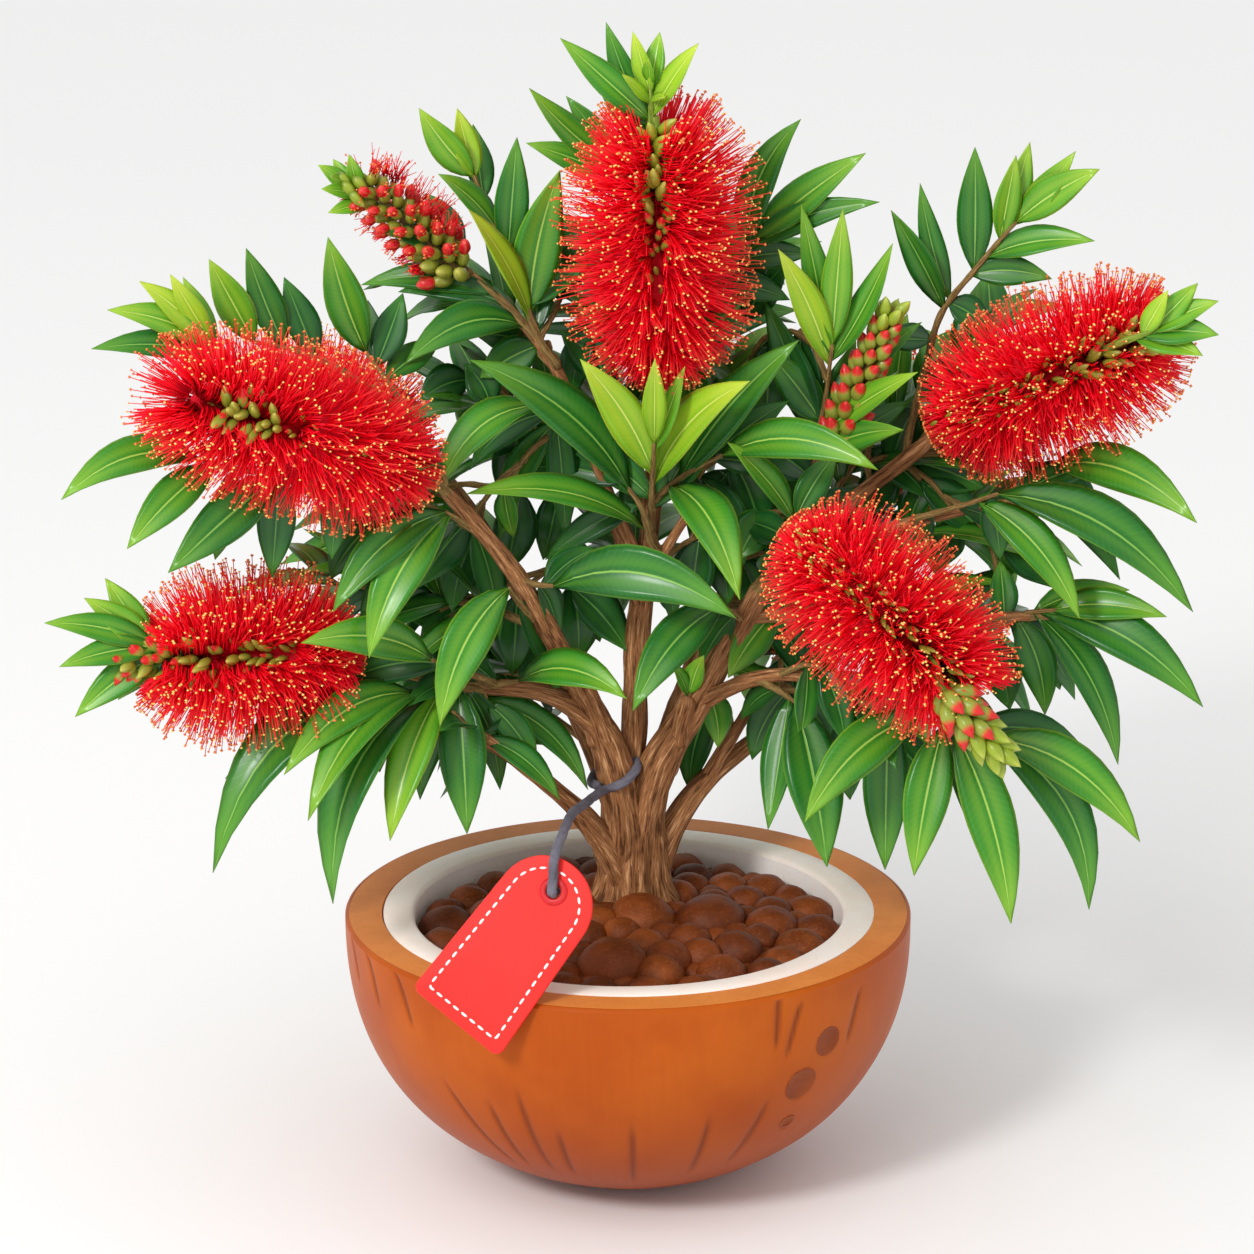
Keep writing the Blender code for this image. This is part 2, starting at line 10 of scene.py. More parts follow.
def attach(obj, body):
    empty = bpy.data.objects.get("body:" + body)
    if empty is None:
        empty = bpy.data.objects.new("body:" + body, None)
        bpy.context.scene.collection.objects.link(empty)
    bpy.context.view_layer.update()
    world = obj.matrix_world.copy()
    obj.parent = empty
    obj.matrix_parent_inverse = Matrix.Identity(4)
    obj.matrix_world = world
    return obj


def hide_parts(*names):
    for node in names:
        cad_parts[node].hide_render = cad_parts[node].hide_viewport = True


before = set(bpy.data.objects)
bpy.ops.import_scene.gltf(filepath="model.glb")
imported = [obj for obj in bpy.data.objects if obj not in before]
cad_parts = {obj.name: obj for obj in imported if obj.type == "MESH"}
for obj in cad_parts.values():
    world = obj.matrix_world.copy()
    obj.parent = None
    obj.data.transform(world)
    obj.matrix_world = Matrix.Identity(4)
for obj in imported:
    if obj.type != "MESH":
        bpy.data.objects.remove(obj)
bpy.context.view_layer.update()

MM = 0.001
# ------------------------------------------------------------------ camera
# A long lens 17 degrees above the level of the middle of the plant.
ELEV = math.radians(17.0)
DIST = 1800.0                              # mm from the look-at point
LOOK_AT = Vector((-0.35, 0.0, 199.5))      # mm
FORWARD = Vector((0.0, math.cos(ELEV), -math.sin(ELEV)))
UPWARD = Vector((0.0, math.sin(ELEV), math.cos(ELEV)))
EYE = LOOK_AT - FORWARD * DIST
SCALE = 0.35                               # mm in the picture plane per pixel
SIDE = 1254


def sight(u, v, y):
    """the point y mm behind the pot's axis on the sight line (u, v)"""
    d = (Vector((1, 0, 0)) * ((u - SIDE / 2) * SCALE) + UPWARD * ((SIDE / 2 - v) * SCALE)
         + FORWARD * DIST)
    return EYE + d * ((y - EYE.y) / d.y)


def seen_at(p):
    """the sight line (u, v) on which the point p lies"""
    q = Vector(p) - EYE
    k = DIST / (SCALE * q.dot(FORWARD))
    return SIDE / 2 + q.x * k, SIDE / 2 - q.dot(UPWARD) * k


# --------------------------------------------------------------- materials
def linear(rgb):
    out = []
    for c in rgb:
        c /= 255.0
        out.append(c / 12.92 if c <= 0.04045 else ((c + 0.055) / 1.055) ** 2.4)
    return (*out, 1.0)


class Nodes:
    """small helper that builds one Principled material"""

    def __init__(self, name, rough=0.5, spec=0.5, coat=0.0, coat_rough=0.2):
        self.mat = bpy.data.materials.new(name)
        self.mat.use_nodes = True
        self.tree = self.mat.node_tree
        self.bsdf = self.tree.nodes["Principled BSDF"]
        self.bsdf.inputs["Roughness"].default_value = rough
        self.bsdf.inputs["Specular IOR Level"].default_value = spec
        if coat:
            self.bsdf.inputs["Coat Weight"].default_value = coat
            self.bsdf.inputs["Coat Roughness"].default_value = coat_rough

    def node(self, kind, **values):
        n = self.tree.nodes.new(kind)
        for k, v in values.items():
            setattr(n, k, v)
        return n

    def put(self, socket, value):
        if hasattr(value, "links") or isinstance(value, bpy.types.NodeSocket):
            self.tree.links.new(value, socket)
        else:
            socket.default_value = value

    def math(self, op, a, b=0.5, clamp=False):
        n = self.node("ShaderNodeMath", operation=op, use_clamp=clamp)
        self.put(n.inputs[0], a)
        self.put(n.inputs[1], b)
        return n.outputs[0]

    def ramp(self, value, low, high):
        """0 below low, 1 above high, smooth between"""
        n = self.node("ShaderNodeMapRange", interpolation_type="SMOOTHSTEP")
        self.put(n.inputs["Value"], value)
        n.inputs["From Min"].default_value = low
        n.inputs["From Max"].default_value = high
        return n.outputs["Result"]

    def mix(self, factor, a, b):
        n = self.node("ShaderNodeMix", data_type="RGBA")
        self.put(n.inputs[0], factor)
        self.put(n.inputs[6], a)
        self.put(n.inputs[7], b)
        return n.outputs[2]

    def coords(self, kind="Object"):
        return self.node("ShaderNodeTexCoord").outputs[kind]

    def uv(self, name):
        return self.node("ShaderNodeUVMap", uv_map=name).outputs["UV"]

    def split(self, vector):
        n = self.node("ShaderNodeSeparateXYZ")
        self.put(n.inputs[0], vector)
        return n.outputs

    def scaled(self, vector, scale):
        n = self.node("ShaderNodeMapping")
        self.put(n.inputs["Vector"], vector)
        n.inputs["Scale"].default_value = scale
        return n.outputs["Vector"]

    def noise(self, vector, scale, detail=3.0, rough=0.55):
        n = self.node("ShaderNodeTexNoise")
        self.put(n.inputs["Vector"], vector)
        n.inputs["Scale"].default_value = scale
        n.inputs["Detail"].default_value = detail
        n.inputs["Roughness"].default_value = rough
        return n.outputs["Fac"]

    def colour(self, socket):
        self.put(self.bsdf.inputs["Base Color"], socket)

    def roughness(self, socket):
        self.put(self.bsdf.inputs["Roughness"], socket)

    def bump(self, height, strength=0.3, distance=0.0005):
        n = self.node("ShaderNodeBump")
        n.inputs["Strength"].default_value = strength
        n.inputs["Distance"].default_value = distance
        self.put(n.inputs["Height"], height)
        self.put(self.bsdf.inputs["Normal"], n.outputs["Normal"])


def leaf_material(name, base, main, edge, rib, under):
    """pattern in the leaf's own place: x across (upper side 0 to .5, lower
    side .5 to 1), y from stalk to tip"""
    m = Nodes(name, rough=0.34, spec=0.22, coat=0.30, coat_rough=0.22)
    s = m.split(m.uv("OFBake"))
    lower = m.math("GREATER_THAN", s[0], 0.5)
    across = m.math("FRACT", m.math("MULTIPLY", s[0], 2.0))
    c = m.math("MULTIPLY", m.math("ABSOLUTE", m.math("SUBTRACT", across, 0.5)), 2.0)
    along = s[1]
    col = m.mix(m.ramp(along, 0.02, 0.5), linear(base), linear(main))
    # fine side veins, slanting to the tip
    vein = m.math("SINE", m.math("SUBTRACT", m.math("MULTIPLY", along, 150.0),
                                 m.math("MULTIPLY", c, 16.0)))
    vein = m.math("MULTIPLY", m.ramp(vein, 0.55, 1.0), 0.07)
    col = m.mix(vein, col, linear(edge))
    # painted highlight: a lighter band on each half blade, beside the midrib, stands in for the sheen of the leaf's
    # gloss
    painted_sheen_band = m.math("MULTIPLY", m.ramp(c, 0.10, 0.30), m.math("SUBTRACT", 1.0, m.ramp(c, 0.34, 0.70)))
    col = m.mix(m.math("MULTIPLY", painted_sheen_band, 0.26), col, linear(edge))
    col = m.mix(m.math("MULTIPLY", m.ramp(c, 0.84, 0.98), 0.88), col, linear(edge))
    col = m.mix(m.math("MULTIPLY", m.ramp(along, 0.62, 1.0), 0.60), col, linear(edge))
    ribbed = m.math("SUBTRACT", 1.0, m.ramp(c, 0.020, 0.062))
    col = m.mix(m.math("MULTIPLY", ribbed, 0.85), col, linear(rib))
    col = m.mix(m.math("MULTIPLY", lower, 0.55), col, linear(under))
    m.colour(col)
    m.roughness(m.math("ADD", 0.33, m.math("MULTIPLY", lower, 0.25)))
    m.bump(m.math("ADD", m.math("MULTIPLY", vein, -1.0), m.math("MULTIPLY", ribbed, -1.0)),
           0.35, 0.0004)
    return m.mat


# young leaves are truly brighter and old ones darker, but the dark tint, set on the leaves inside and behind the
# crown, also carries painted shade
LEAF_TINTS = {
    "dark": ((12, 62, 24), (22, 86, 32), (70, 136, 44), (96, 156, 64), (60, 118, 52)),
    "deep": ((18, 80, 26), (34, 108, 34), (104, 164, 48), (136, 186, 78), (80, 140, 58)),
    "mid": ((32, 102, 26), (56, 134, 34), (142, 190, 52), (170, 206, 86), (104, 160, 60)),
    "light": ((62, 134, 24), (92, 160, 36), (172, 206, 60), (196, 220, 102), (130, 178, 66)),
    "young": ((98, 156, 26), (140, 188, 36), (202, 218, 70), (218, 228, 112), (160, 196, 70)),
}
LEAF_MATS = {k: leaf_material("leaf_" + k, *v) for k, v in LEAF_TINTS.items()}


def bristle_material():
    """four tints side by side in x, from the foot of a stamen to its tip in y; each runs from a darker foot,
    painted shade deep in the spike, to a paler tip, a painted highlight
    """
    m = Nodes("bristle", rough=0.55, spec=0.16)
    s = m.split(m.uv("OFBake"))
    tones = [((206, 0, 24), (255, 4, 34), (255, 30, 52)),
             ((180, 0, 18), (242, 0, 28), (255, 14, 40)),
             ((200, 0, 22), (255, 8, 34), (250, 78, 62)),
             ((186, 0, 20), (246, 2, 30), (240, 54, 44))]
    col = None
    for i, (foot, mid, tip) in enumerate(tones):
        # painted shade toward the foot, painted highlight toward the tip
        c = m.mix(m.ramp(s[1], 0.05, 0.55), linear(foot), linear(mid))
        c = m.mix(m.ramp(s[1], 0.6, 1.0), c, linear(tip))
        col = c if col is None else m.mix(m.math("GREATER_THAN", s[0], i * 0.25), col, c)
    m.colour(col)
    return m.mat


def spotted(name, low, high, rough, spec=0.4, scale=900.0):
    """colour that varies finely over a small rounded thing"""
    m = Nodes(name, rough=rough, spec=spec)
    n = m.noise(m.coords(), scale, 2.0)
    m.colour(m.mix(n, linear(low), linear(high)))
    m.bump(n, 0.2, 0.0002)
    return m.mat


def bud_material(name, foot, body, tip, edge0, edge1, rough=0.35):
    """round bud: y of its own place runs from foot to tip"""
    m = Nodes(name, rough=rough, spec=0.3, coat=0.2)
    s = m.split(m.uv("OFBake"))
    col = m.mix(m.ramp(s[1], 0.0, 0.35), linear(foot), linear(body))
    col = m.mix(m.ramp(s[1], edge0, edge1), col, linear(tip))
    ribs = m.math("SINE", m.math("MULTIPLY", s[0], 31.4))
    col = m.mix(m.math("MULTIPLY", m.ramp(ribs, 0.3, 1.0), 0.18), col, linear(foot))
    m.colour(col)
    m.bump(ribs, 0.25, 0.0003)
    return m.mat


def bark_material(name, groove, body, streak, scale=1.0):
    """streaks run along the limb: the map 'grain' holds mm round and along"""
    m = Nodes(name, rough=0.78, spec=0.25)
    g = m.uv("grain")
    long_noise = m.noise(m.scaled(g, (0.62 * scale, 0.045 * scale, 1.0)), 1.0, 5.0, 0.62)
    fine = m.noise(m.scaled(g, (2.1 * scale, 0.16 * scale, 1.0)), 1.0, 4.0, 0.6)
    both = m.math("ADD", m.math("MULTIPLY", long_noise, 0.55), m.math("MULTIPLY", fine, 0.45))
    col = m.mix(m.ramp(both, 0.40, 0.50), linear(groove), linear(body))
    col = m.mix(m.ramp(both, 0.51, 0.62), col, linear(streak))
    m.colour(col)
    m.roughness(m.math("ADD", 0.62, m.math("MULTIPLY", fine, 0.3)))
    m.bump(both, 0.7, 0.0011)
    return m.mat


MAT_BRISTLE = bristle_material()
MAT_ANTHER = spotted("anther_gold", (246, 190, 84), (255, 228, 138), 0.5, 0.2)
MAT_ANTHER_RED = spotted("anther_orange", (232, 98, 52), (250, 160, 92), 0.5, 0.2)
# painted shade: the heart of each spike is a deeper red that shows in the gaps between the threads
MAT_SHADE_CORE = spotted("bloom_core_shade", (170, 0, 22), (224, 8, 36), 0.7, 0.15, 600.0)
MAT_CALYX = bud_material("calyx", (104, 112, 30), (142, 148, 48), (190, 188, 84), 0.6, 1.0)
MAT_BUD = bud_material("bud_red_tip", (100, 116, 38), (146, 160, 60), (216, 30, 38), 0.56, 0.76)
MAT_PALE = bud_material("bud_pale", (98, 122, 30), (146, 166, 46), (190, 202, 82), 0.6, 1.0)
MAT_BUD_RED = bud_material("bud_red", (150, 150, 60), (206, 20, 34), (240, 60, 60), 0.6, 1.0)
MAT_BARK = bark_material("bark", (90, 54, 28), (154, 104, 64), (208, 158, 110))
MAT_TWIG = bark_material("twig_bark", (84, 62, 32), (136, 108, 62), (170, 148, 88), 2.0)
MAT_GREEN_TWIG = bark_material("young_twig", (92, 120, 40), (132, 158, 56), (176, 190, 90), 2.0)


def husk_material():
    m = Nodes("husk_satin", rough=0.5, spec=0.14)
    p = m.coords()
    grain = m.uv("grain")                     # round the bowl, down its side
    fibre = m.noise(m.scaled(grain, (220.0, 3.2, 1.0)), 1.0, 5.0, 0.6)
    blot = m.noise(p, 26.0, 3.0)
    s = m.split(grain)
    # painted shade: the husk darkens toward the bottom of the bowl
    low = m.ramp(s[1], 0.30, 0.95)
    col = m.mix(m.ramp(blot, 0.35, 0.65), linear((172, 76, 12)), linear((185, 88, 17)))
    col = m.mix(m.math("MULTIPLY", m.ramp(fibre, 0.45, 0.85), 0.10), col, linear((203, 110, 40)))
    col = m.mix(m.math("MULTIPLY", m.ramp(fibre, 0.55, 0.25), 0.10), col, linear((156, 70, 24)))
    col = m.mix(m.math("MULTIPLY", low, 0.75), col, linear((148, 60, 16)))
    # painted shade: the husk is darkened along its grooves by their depth
    carve = m.node("ShaderNodeAttribute", attribute_name="carve").outputs["Fac"]
    col = m.mix(m.math("MULTIPLY", carve, 0.85), col, linear((112, 46, 14)))
    m.colour(col)
    m.roughness(m.math("ADD", 0.34, m.math("MULTIPLY", fibre, 0.16)))
    m.bump(fibre, 0.18, 0.0006)
    return m.mat


def ring_material(name, low, high, fleck, rough):
    m = Nodes(name, rough=rough, spec=0.2)
    p = m.coords()
    n = m.noise(p, 60.0, 4.0)
    f = m.noise(p, 700.0, 3.0)
    col = m.mix(m.ramp(n, 0.3, 0.7), linear(low), linear(high))
    col = m.mix(m.math("MULTIPLY", m.ramp(f, 0.52, 0.7), 0.35), col, linear(fleck))
    m.colour(col)
    m.bump(f, 0.25, 0.0004)
    return m.mat


MAT_HUSK = husk_material()
MAT_GROOVE = ring_material("husk_groove", (146, 64, 22), (160, 74, 26), (120, 50, 16), 0.5)
MAT_RIM = ring_material("husk_cut", (220, 130, 56), (230, 142, 66), (202, 110, 44), 0.5)
MAT_EYE = ring_material("husk_eye", (130, 58, 22), (148, 70, 28), (108, 46, 16), 0.55)
MAT_FLESH = ring_material("flesh_cut", (255, 240, 228), (255, 246, 238), (250, 230, 214), 0.5)
MAT_WALL = ring_material("flesh_wall", (252, 245, 239), (255, 251, 247), (240, 230, 222), 0.6)


def ball_material(name, dark, body, pale):
    m = Nodes(name, rough=0.5, spec=0.22)
    p = m.coords()
    n = m.noise(p, 70.0, 4.0, 0.6)
    f = m.noise(p, 900.0, 4.0, 0.6)
    col = m.mix(m.ramp(n, 0.3, 0.7), linear(dark), linear(body))
    col = m.mix(m.math("MULTIPLY", m.ramp(f, 0.5, 0.72), 0.35), col, linear(pale))
    m.colour(col)
    m.roughness(m.math("ADD", 0.40, m.math("MULTIPLY", f, 0.25)))
    m.bump(m.math("ADD", m.math("MULTIPLY", n, 0.6), f), 0.35, 0.0007)
    return m.mat


MAT_BALLS = [ball_material("clay_a", (92, 40, 12), (132, 64, 24), (168, 94, 44)),
             ball_material("clay_b", (80, 34, 10), (114, 54, 20), (150, 82, 38)),
             ball_material("clay_c", (104, 48, 14), (146, 74, 28), (182, 106, 52))]


def card_material():
    m = Nodes("tag_card", rough=0.5, spec=0.2)
    p = m.coords()
    n = m.noise(p, 55.0, 3.0)
    f = m.noise(p, 1500.0, 3.0)
    col = m.mix(n, linear((238, 42, 38)), linear((246, 52, 46)))
    col = m.mix(m.math("MULTIPLY", m.ramp(f, 0.5, 0.75), 0.25), col, linear((226, 34, 32)))
    m.colour(col)
    m.bump(f, 0.2, 0.0003)
    return m.mat


MAT_CARD = card_material()
MAT_EYELET = ring_material("eyelet", (196, 40, 44), (214, 52, 54), (170, 28, 34), 0.35)
MAT_THREAD = ring_material("stitch_thread", (246, 240, 238), (255, 252, 250), (226, 216, 214), 0.7)
MAT_STRING = ring_material("string_fibre", (92, 90, 100), (118, 116, 128), (66, 64, 74), 0.75)


# ----------------------------------------------------------------- meshes
class Heap:
    """collects many small meshes into one piece"""

    def __init__(self, name, mats, uv=None):
        self.name, self.mats, self.uv_name = name, mats, uv
        self.v, self.f, self.uv, self.m, self.n = [], [], [], [], 0

    def add(self, verts, faces, uvs=None, mat=0):
        """verts (n, 3) in mm; faces (k, 3 or 4) of ints; uvs (k, corners, 2)"""
        verts = np.asarray(verts, float)
        faces = np.asarray(faces, int)
        self.v.append(verts)
        self.f.append(faces + self.n)
        self.uv.append(uvs)
        self.m.append(np.full(len(faces), mat))
        self.n += len(verts)

    def triangles(self):
        return sum(len(f) * (f.shape[1] - 2) for f in self.f)

    def build(self, smooth=True, angle=None):
        verts = np.concatenate(self.v) * MM
        me = bpy.data.meshes.new(self.name)
        loops = np.concatenate([f.reshape(-1) for f in self.f]).astype(np.int32)
        sizes = np.concatenate([np.full(len(f), f.shape[1]) for f in self.f]).astype(np.int32)
        starts = np.concatenate([[0], np.cumsum(sizes)[:-1]]).astype(np.int32)
        me.vertices.add(len(verts))
        me.vertices.foreach_set("co", verts.astype(np.float32).reshape(-1))
        me.loops.add(len(loops))
        me.loops.foreach_set("vertex_index", loops)
        me.polygons.add(len(sizes))
        me.polygons.foreach_set("loop_start", starts)
        me.polygons.foreach_set("material_index", np.concatenate(self.m).astype(np.int32))
        me.polygons.foreach_set("use_smooth", np.full(len(sizes), smooth))
        if self.uv_name:
            layer = me.uv_layers.new(name=self.uv_name)
            flat = np.concatenate([np.asarray(u, float).reshape(-1, 2) for u in self.uv])
            layer.data.foreach_set("uv", flat.astype(np.float32).reshape(-1))
        me.update(calc_edges=True)
        me.validate()
        for mat in self.mats:
            me.materials.append(mat)
        if angle is not None:
            me.set_sharp_from_angle(angle=math.radians(angle))
        ob = bpy.data.objects.new(self.name, me)
        bpy.context.scene.collection.objects.link(ob)
        return ob


def hand_in(heap, nodes=(), smooth=True, angle=None):
    """builds a piece, rides it on the plant's one body and hides the parts it
    stands for"""
    if not heap.n:
        return None
    ob = heap.build(smooth, angle)
    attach(ob, "root")
    if nodes:
        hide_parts(*nodes)
    return ob


def unit(v):
    v = np.asarray(v, float)
    return v / np.maximum(np.linalg.norm(v, axis=-1, keepdims=True), 1e-9)


def smooth_path(points, per_span):
    """Catmull-Rom curve through points of any number of components"""
    p = [np.asarray(q, float) for q in points]
    p = [2 * p[0] - p[1]] + p + [2 * p[-1] - p[-2]]
    out = []
    for i in range(1, len(p) - 2):
        p0, p1, p2, p3 = p[i - 1:i + 3]
        for s in range(per_span):
            t = s / per_span
            out.append(0.5 * (2 * p1 + (p2 - p0) * t + (2 * p0 - 5 * p1 + 4 * p2 - p3) * t * t
                              + (3 * p1 - p0 - 3 * p2 + p3) * t ** 3))
    out.append(p[-2])
    return np.array(out)


def carried_frames(axis):
    """tangent, side and normal along a path, without twist"""
    t = unit(np.gradient(axis, axis=0))
    side = np.zeros_like(t)
    guess = np.array([1.0, 0, 0]) if abs(t[0][0]) < 0.9 else np.array([0, 1.0, 0])
    for i in range(len(t)):
        guess = guess - t[i] * guess.dot(t[i])
        guess = guess / np.linalg.norm(guess)
        side[i] = guess
    return t, side, np.cross(t, side)


def grid_faces(rows, cols, wrap=True):
    f = []
    last = cols if wrap else cols - 1
    for k in range(rows - 1):
        for j in range(last):
            a, b = k * cols + j, k * cols + (j + 1) % cols
            f.append((a, b, b + cols, a + cols))
    return np.array(f)


def tube_into(heap, path, radii, sides=8, mat=0, grain=False, relief=None):
    """closed tube along a path; relief(angle, along, i) scales its radius"""
    path = np.asarray(path, float)
    t, s, n = carried_frames(path)
    a = 2 * np.pi * np.arange(sides) / sides
    along = np.concatenate([[0], np.cumsum(np.linalg.norm(np.diff(path, axis=0), axis=1))])
    rows = len(path)
    verts = np.zeros((rows, sides, 3))
    for i in range(rows):
        r = radii[i] * (relief(a, along[i], i) if relief else np.ones(sides))
        verts[i] = path[i] + (s[i] * np.cos(a)[:, None] + n[i] * np.sin(a)[:, None]) * r[:, None]
    flat = verts.reshape(-1, 3)
    quads = grid_faces(rows, sides)
    ends = np.array([path[0] - t[0] * radii[0] * 0.3, path[-1] + t[-1] * radii[-1] * 0.6])
    caps = []
    base = rows * sides
    for j in range(sides):
        k = (j + 1) % sides
        caps.append((k, j, base))
        caps.append(((rows - 1) * sides + j, (rows - 1) * sides + k, base + 1))
    allv = np.concatenate([flat, ends])
    mean = float(np.mean(radii))
    if grain:
        uvq = []
        for k in range(rows - 1):
            for j in range(sides):
                u0, u1 = j / sides * 6.28 * mean, (j + 1) / sides * 6.28 * mean
                uvq.append([(u0, along[k]), (u1, along[k]), (u1, along[k + 1]), (u0, along[k + 1])])
        uvc = [[(0, 0), (mean, 0), (mean, mean)]] * len(caps)
        heap.add(allv, quads, np.array(uvq), mat)
        heap.add(np.zeros((0, 3)), np.array(caps) - heap.n, np.array(uvc), mat)
        heap.f[-1] = np.array(caps) + heap.n - len(allv)
    else:
        heap.add(allv, quads, None, mat)
        heap.add(np.zeros((0, 3)), np.array(caps), None, mat)
        heap.f[-1] = np.array(caps) + heap.n - len(allv)
    return heap


# ---------------------------------------------------------------- skeleton
# The limbs as built in the construction, (x, y, z, radius) in mm.
LIMBS = {
    "left_stem": [(-2, 10, 122, 7.4), (-5, 9, 146, 6.4), (-10, 7, 160, 5.8),
                  (-20, 3, 170, 4.6), (-34, -2, 177, 3.6), (-52, -8, 180, 2.8)],
    "right_bough": [(5, 13, 122, 7.6), (11, 12, 145, 6.6), (21, 10, 163, 5.8),
                    (33, 6, 186, 5.0), (46, 2, 212, 4.2)],
    "right_upper_bough": [(46.2, 2, 212.4, 4.1), (60, 9, 226, 3.8), (85, 20, 245, 3.3),
                          (101, 23, 257, 3.0), (113, 19, 269, 2.5)],
    "left_bough": [(-9, 8, 156, 5.6), (-14, 2, 172, 5.0), (-24, -8, 194, 4.4),
                   (-37, -21, 222, 3.7), (-50, -31, 243, 3.2), (-62, -38, 259, 2.5)],
    "low_left_bough": [(-3, 13, 104, 6.2), (-11, 5, 121, 5.0), (-20, -3, 135, 4.0),
                       (-34, -13, 151, 3.2), (-50, -20, 165, 2.6)],
    "right_low_bough": [(8, 17, 103, 6.4), (22, 22, 128, 4.6), (38, 33, 141, 3.6),
                        (58, 46, 152, 2.6)],
    "centre_bough": [(1, 15, 134, 5.2), (2, 16, 156, 4.8), (3, 17, 190, 4.6),
                     (6, 18, 215, 4.2), (9, 14, 250, 3.6), (8, 4, 288, 2.8)],
    "upper_left_bough": [(4, 16, 204, 3.4), (-6, 13, 240, 2.9), (-15, 11, 264, 2.6),
                         (-25, 11, 290, 2.4), (-38, 14, 307, 2.1), (-54, 19, 321, 1.8)],
    "right_side_bough": [(25, 9, 169, 3.8), (43, -6, 182, 3.0), (60, -14, 186, 2.6),
                         (75, -21, 181, 2.1)],
    "far_right_bough": [(56, 6, 222, 3.2), (79, 6, 230, 2.7), (103, 3, 238, 2.3),
                        (128, -3, 245, 1.8)],
    "far_right_low_bough": [(41, 4, 202, 3.2), (72, 6, 203, 2.8), (104, 0, 203, 2.4),
                            (140, -9, 206, 1.8)],
    "back_left_bough": [(-1, 15, 118, 5.6), (-13, 31, 146, 4.6), (-34, 52, 186, 3.8),
                        (-58, 70, 224, 3.0), (-76, 80, 242, 2.3)],
    "back_right_bough": [(4, 18, 120, 5.6), (15, 36, 150, 4.6), (34, 56, 192, 3.8),
                         (58, 66, 226, 3.0), (84, 70, 243, 2.3)],
    "back_bough": [(3, 18, 168, 4.2), (6, 34, 200, 3.6), (10, 54, 242, 3.0),
                   (12, 68, 275, 2.4)],
}
BED_TOP_Z, TRUNK_FOOT = 93.6, (1.0, 16.0)

CARRIERS = []                   # centre lines of all wood: (points, radii)


def joined(start, reach=7.0):
    """the place on the wood, a little toward its root, from which a shoot
    that passes start can spring"""
    start = np.asarray(start, float)
    best, at = 1e9, None
    for pts, radii in CARRIERS:
        gap = np.linalg.norm(pts - start, axis=1)
        i = int(gap.argmin())
        if gap[i] < best:
            best, at = gap[i], (pts, radii, i)
    pts, radii, i = at
    if best <= radii[i] * 0.8:
        return None
    back, k = 0.0, i
    want = min(reach, 0.55 * best)
    while k > 1 and back < want:
        back += np.linalg.norm(pts[k] - pts[k - 1])
        k -= 1
    return pts[k]


LIMB_ENDS = []                  # (end, way on, radius, sides that bear a leaf) of each limb
wood = Heap("bark_limbs", [MAT_BARK], "grain")
# the fused stems run on down the trunk to its foot
ROOTS = {"left_stem": [(-4.5, 15, 90, 6.6), (-3.4, 13, 106, 6.6)],
         "right_bough": [(6.5, 17, 90, 6.8), (5.2, 15, 106, 6.8)],
         "low_left_bough": [(-7.0, 19, 89, 5.0)],
         "right_low_bough": [(8.5, 20, 89, 5.4)],
         "back_left_bough": [(-3, 19, 90, 5.4), (-1.5, 17, 104, 5.4)],
         "back_right_bough": [(5, 21, 90, 5.4), (4, 19, 104, 5.4)],
         "centre_bough": [(1.2, 9.5, 90, 6.0), (1.2, 10.5, 106, 5.8), (0.9, 12.5, 120, 5.4)]}
for key, route in LIMBS.items():
    route = ROOTS.get(key, []) + [tuple(p) for p in route]
    path4 = smooth_path(route, 10)
    seed = sum(ord(c) for c in key) % 23

    def relief(a, along, i, seed=seed):
        r = 1 + 0.07 * np.sin(5 * a + seed + 0.05 * along) + 0.045 * np.sin(
            9 * a - 0.11 * along + 2.1 * seed + 1.2 * np.sin(0.19 * along))
        r += 0.05 * np.sin(0.23 * along + seed) + 0.02 * np.sin(14 * a + 0.31 * along)
        return r * np.where(np.sin(a * 3 + seed + along * 0.03) > 0.93, 0.93, 1.0)

    slim = np.where(path4[:, 3] > 6.0, 1.0, 0.86 + 0.14 * np.clip((path4[:, 3] - 3.0) / 3.0, 0, 1) ** 2)
    tube_into(wood, path4[:, :3], np.maximum(path4[:, 3] * slim, 1.2), 22, 0, True, relief)
    CARRIERS.append((path4[:, :3], path4[:, 3]))
    LIMB_ENDS.append((path4[-1, :3], unit(path4[-1, :3] - path4[-4, :3]), max(path4[-1, 3] * 0.86, 1.2),
                      (-1,) if key.startswith("far_right") else (-1, 1)))


def lesser_limb(points, r0, r1):
    """thin limb through sight points (u, v, depth)"""
    points = [tuple(sight(*q)) for q in points]
    root = joined(points[0], 10.0)
    pts = smooth_path(([tuple(root)] if root is not None else []) + points, 8)
    CARRIERS.append((pts, np.linspace(r0, r1, len(pts))))
    tube_into(wood, pts, np.linspace(r0, r1, len(pts)), 14, 0, True,
              lambda a, along, i: 1 + 0.06 * np.sin(4 * a + 0.2 * along) + 0.04 * np.sin(0.5 * along))


lesser_limb([(706, 780, 26), (722, 752, 26), (741, 722, 27), (759, 690, 29)], 2.8, 1.9)
lesser_limb([(679, 742, 9), (682, 722, 6), (688, 700, 3)], 3.7, 2.9)
lesser_limb([(660, 556, 11), (674, 536, 8), (688, 514, 6), (700, 498, 6)], 2.1, 1.3)
lesser_limb([(634, 552, 12), (620, 520, 10), (604, 482, 8), (592, 455, 6)], 2.6, 1.6)


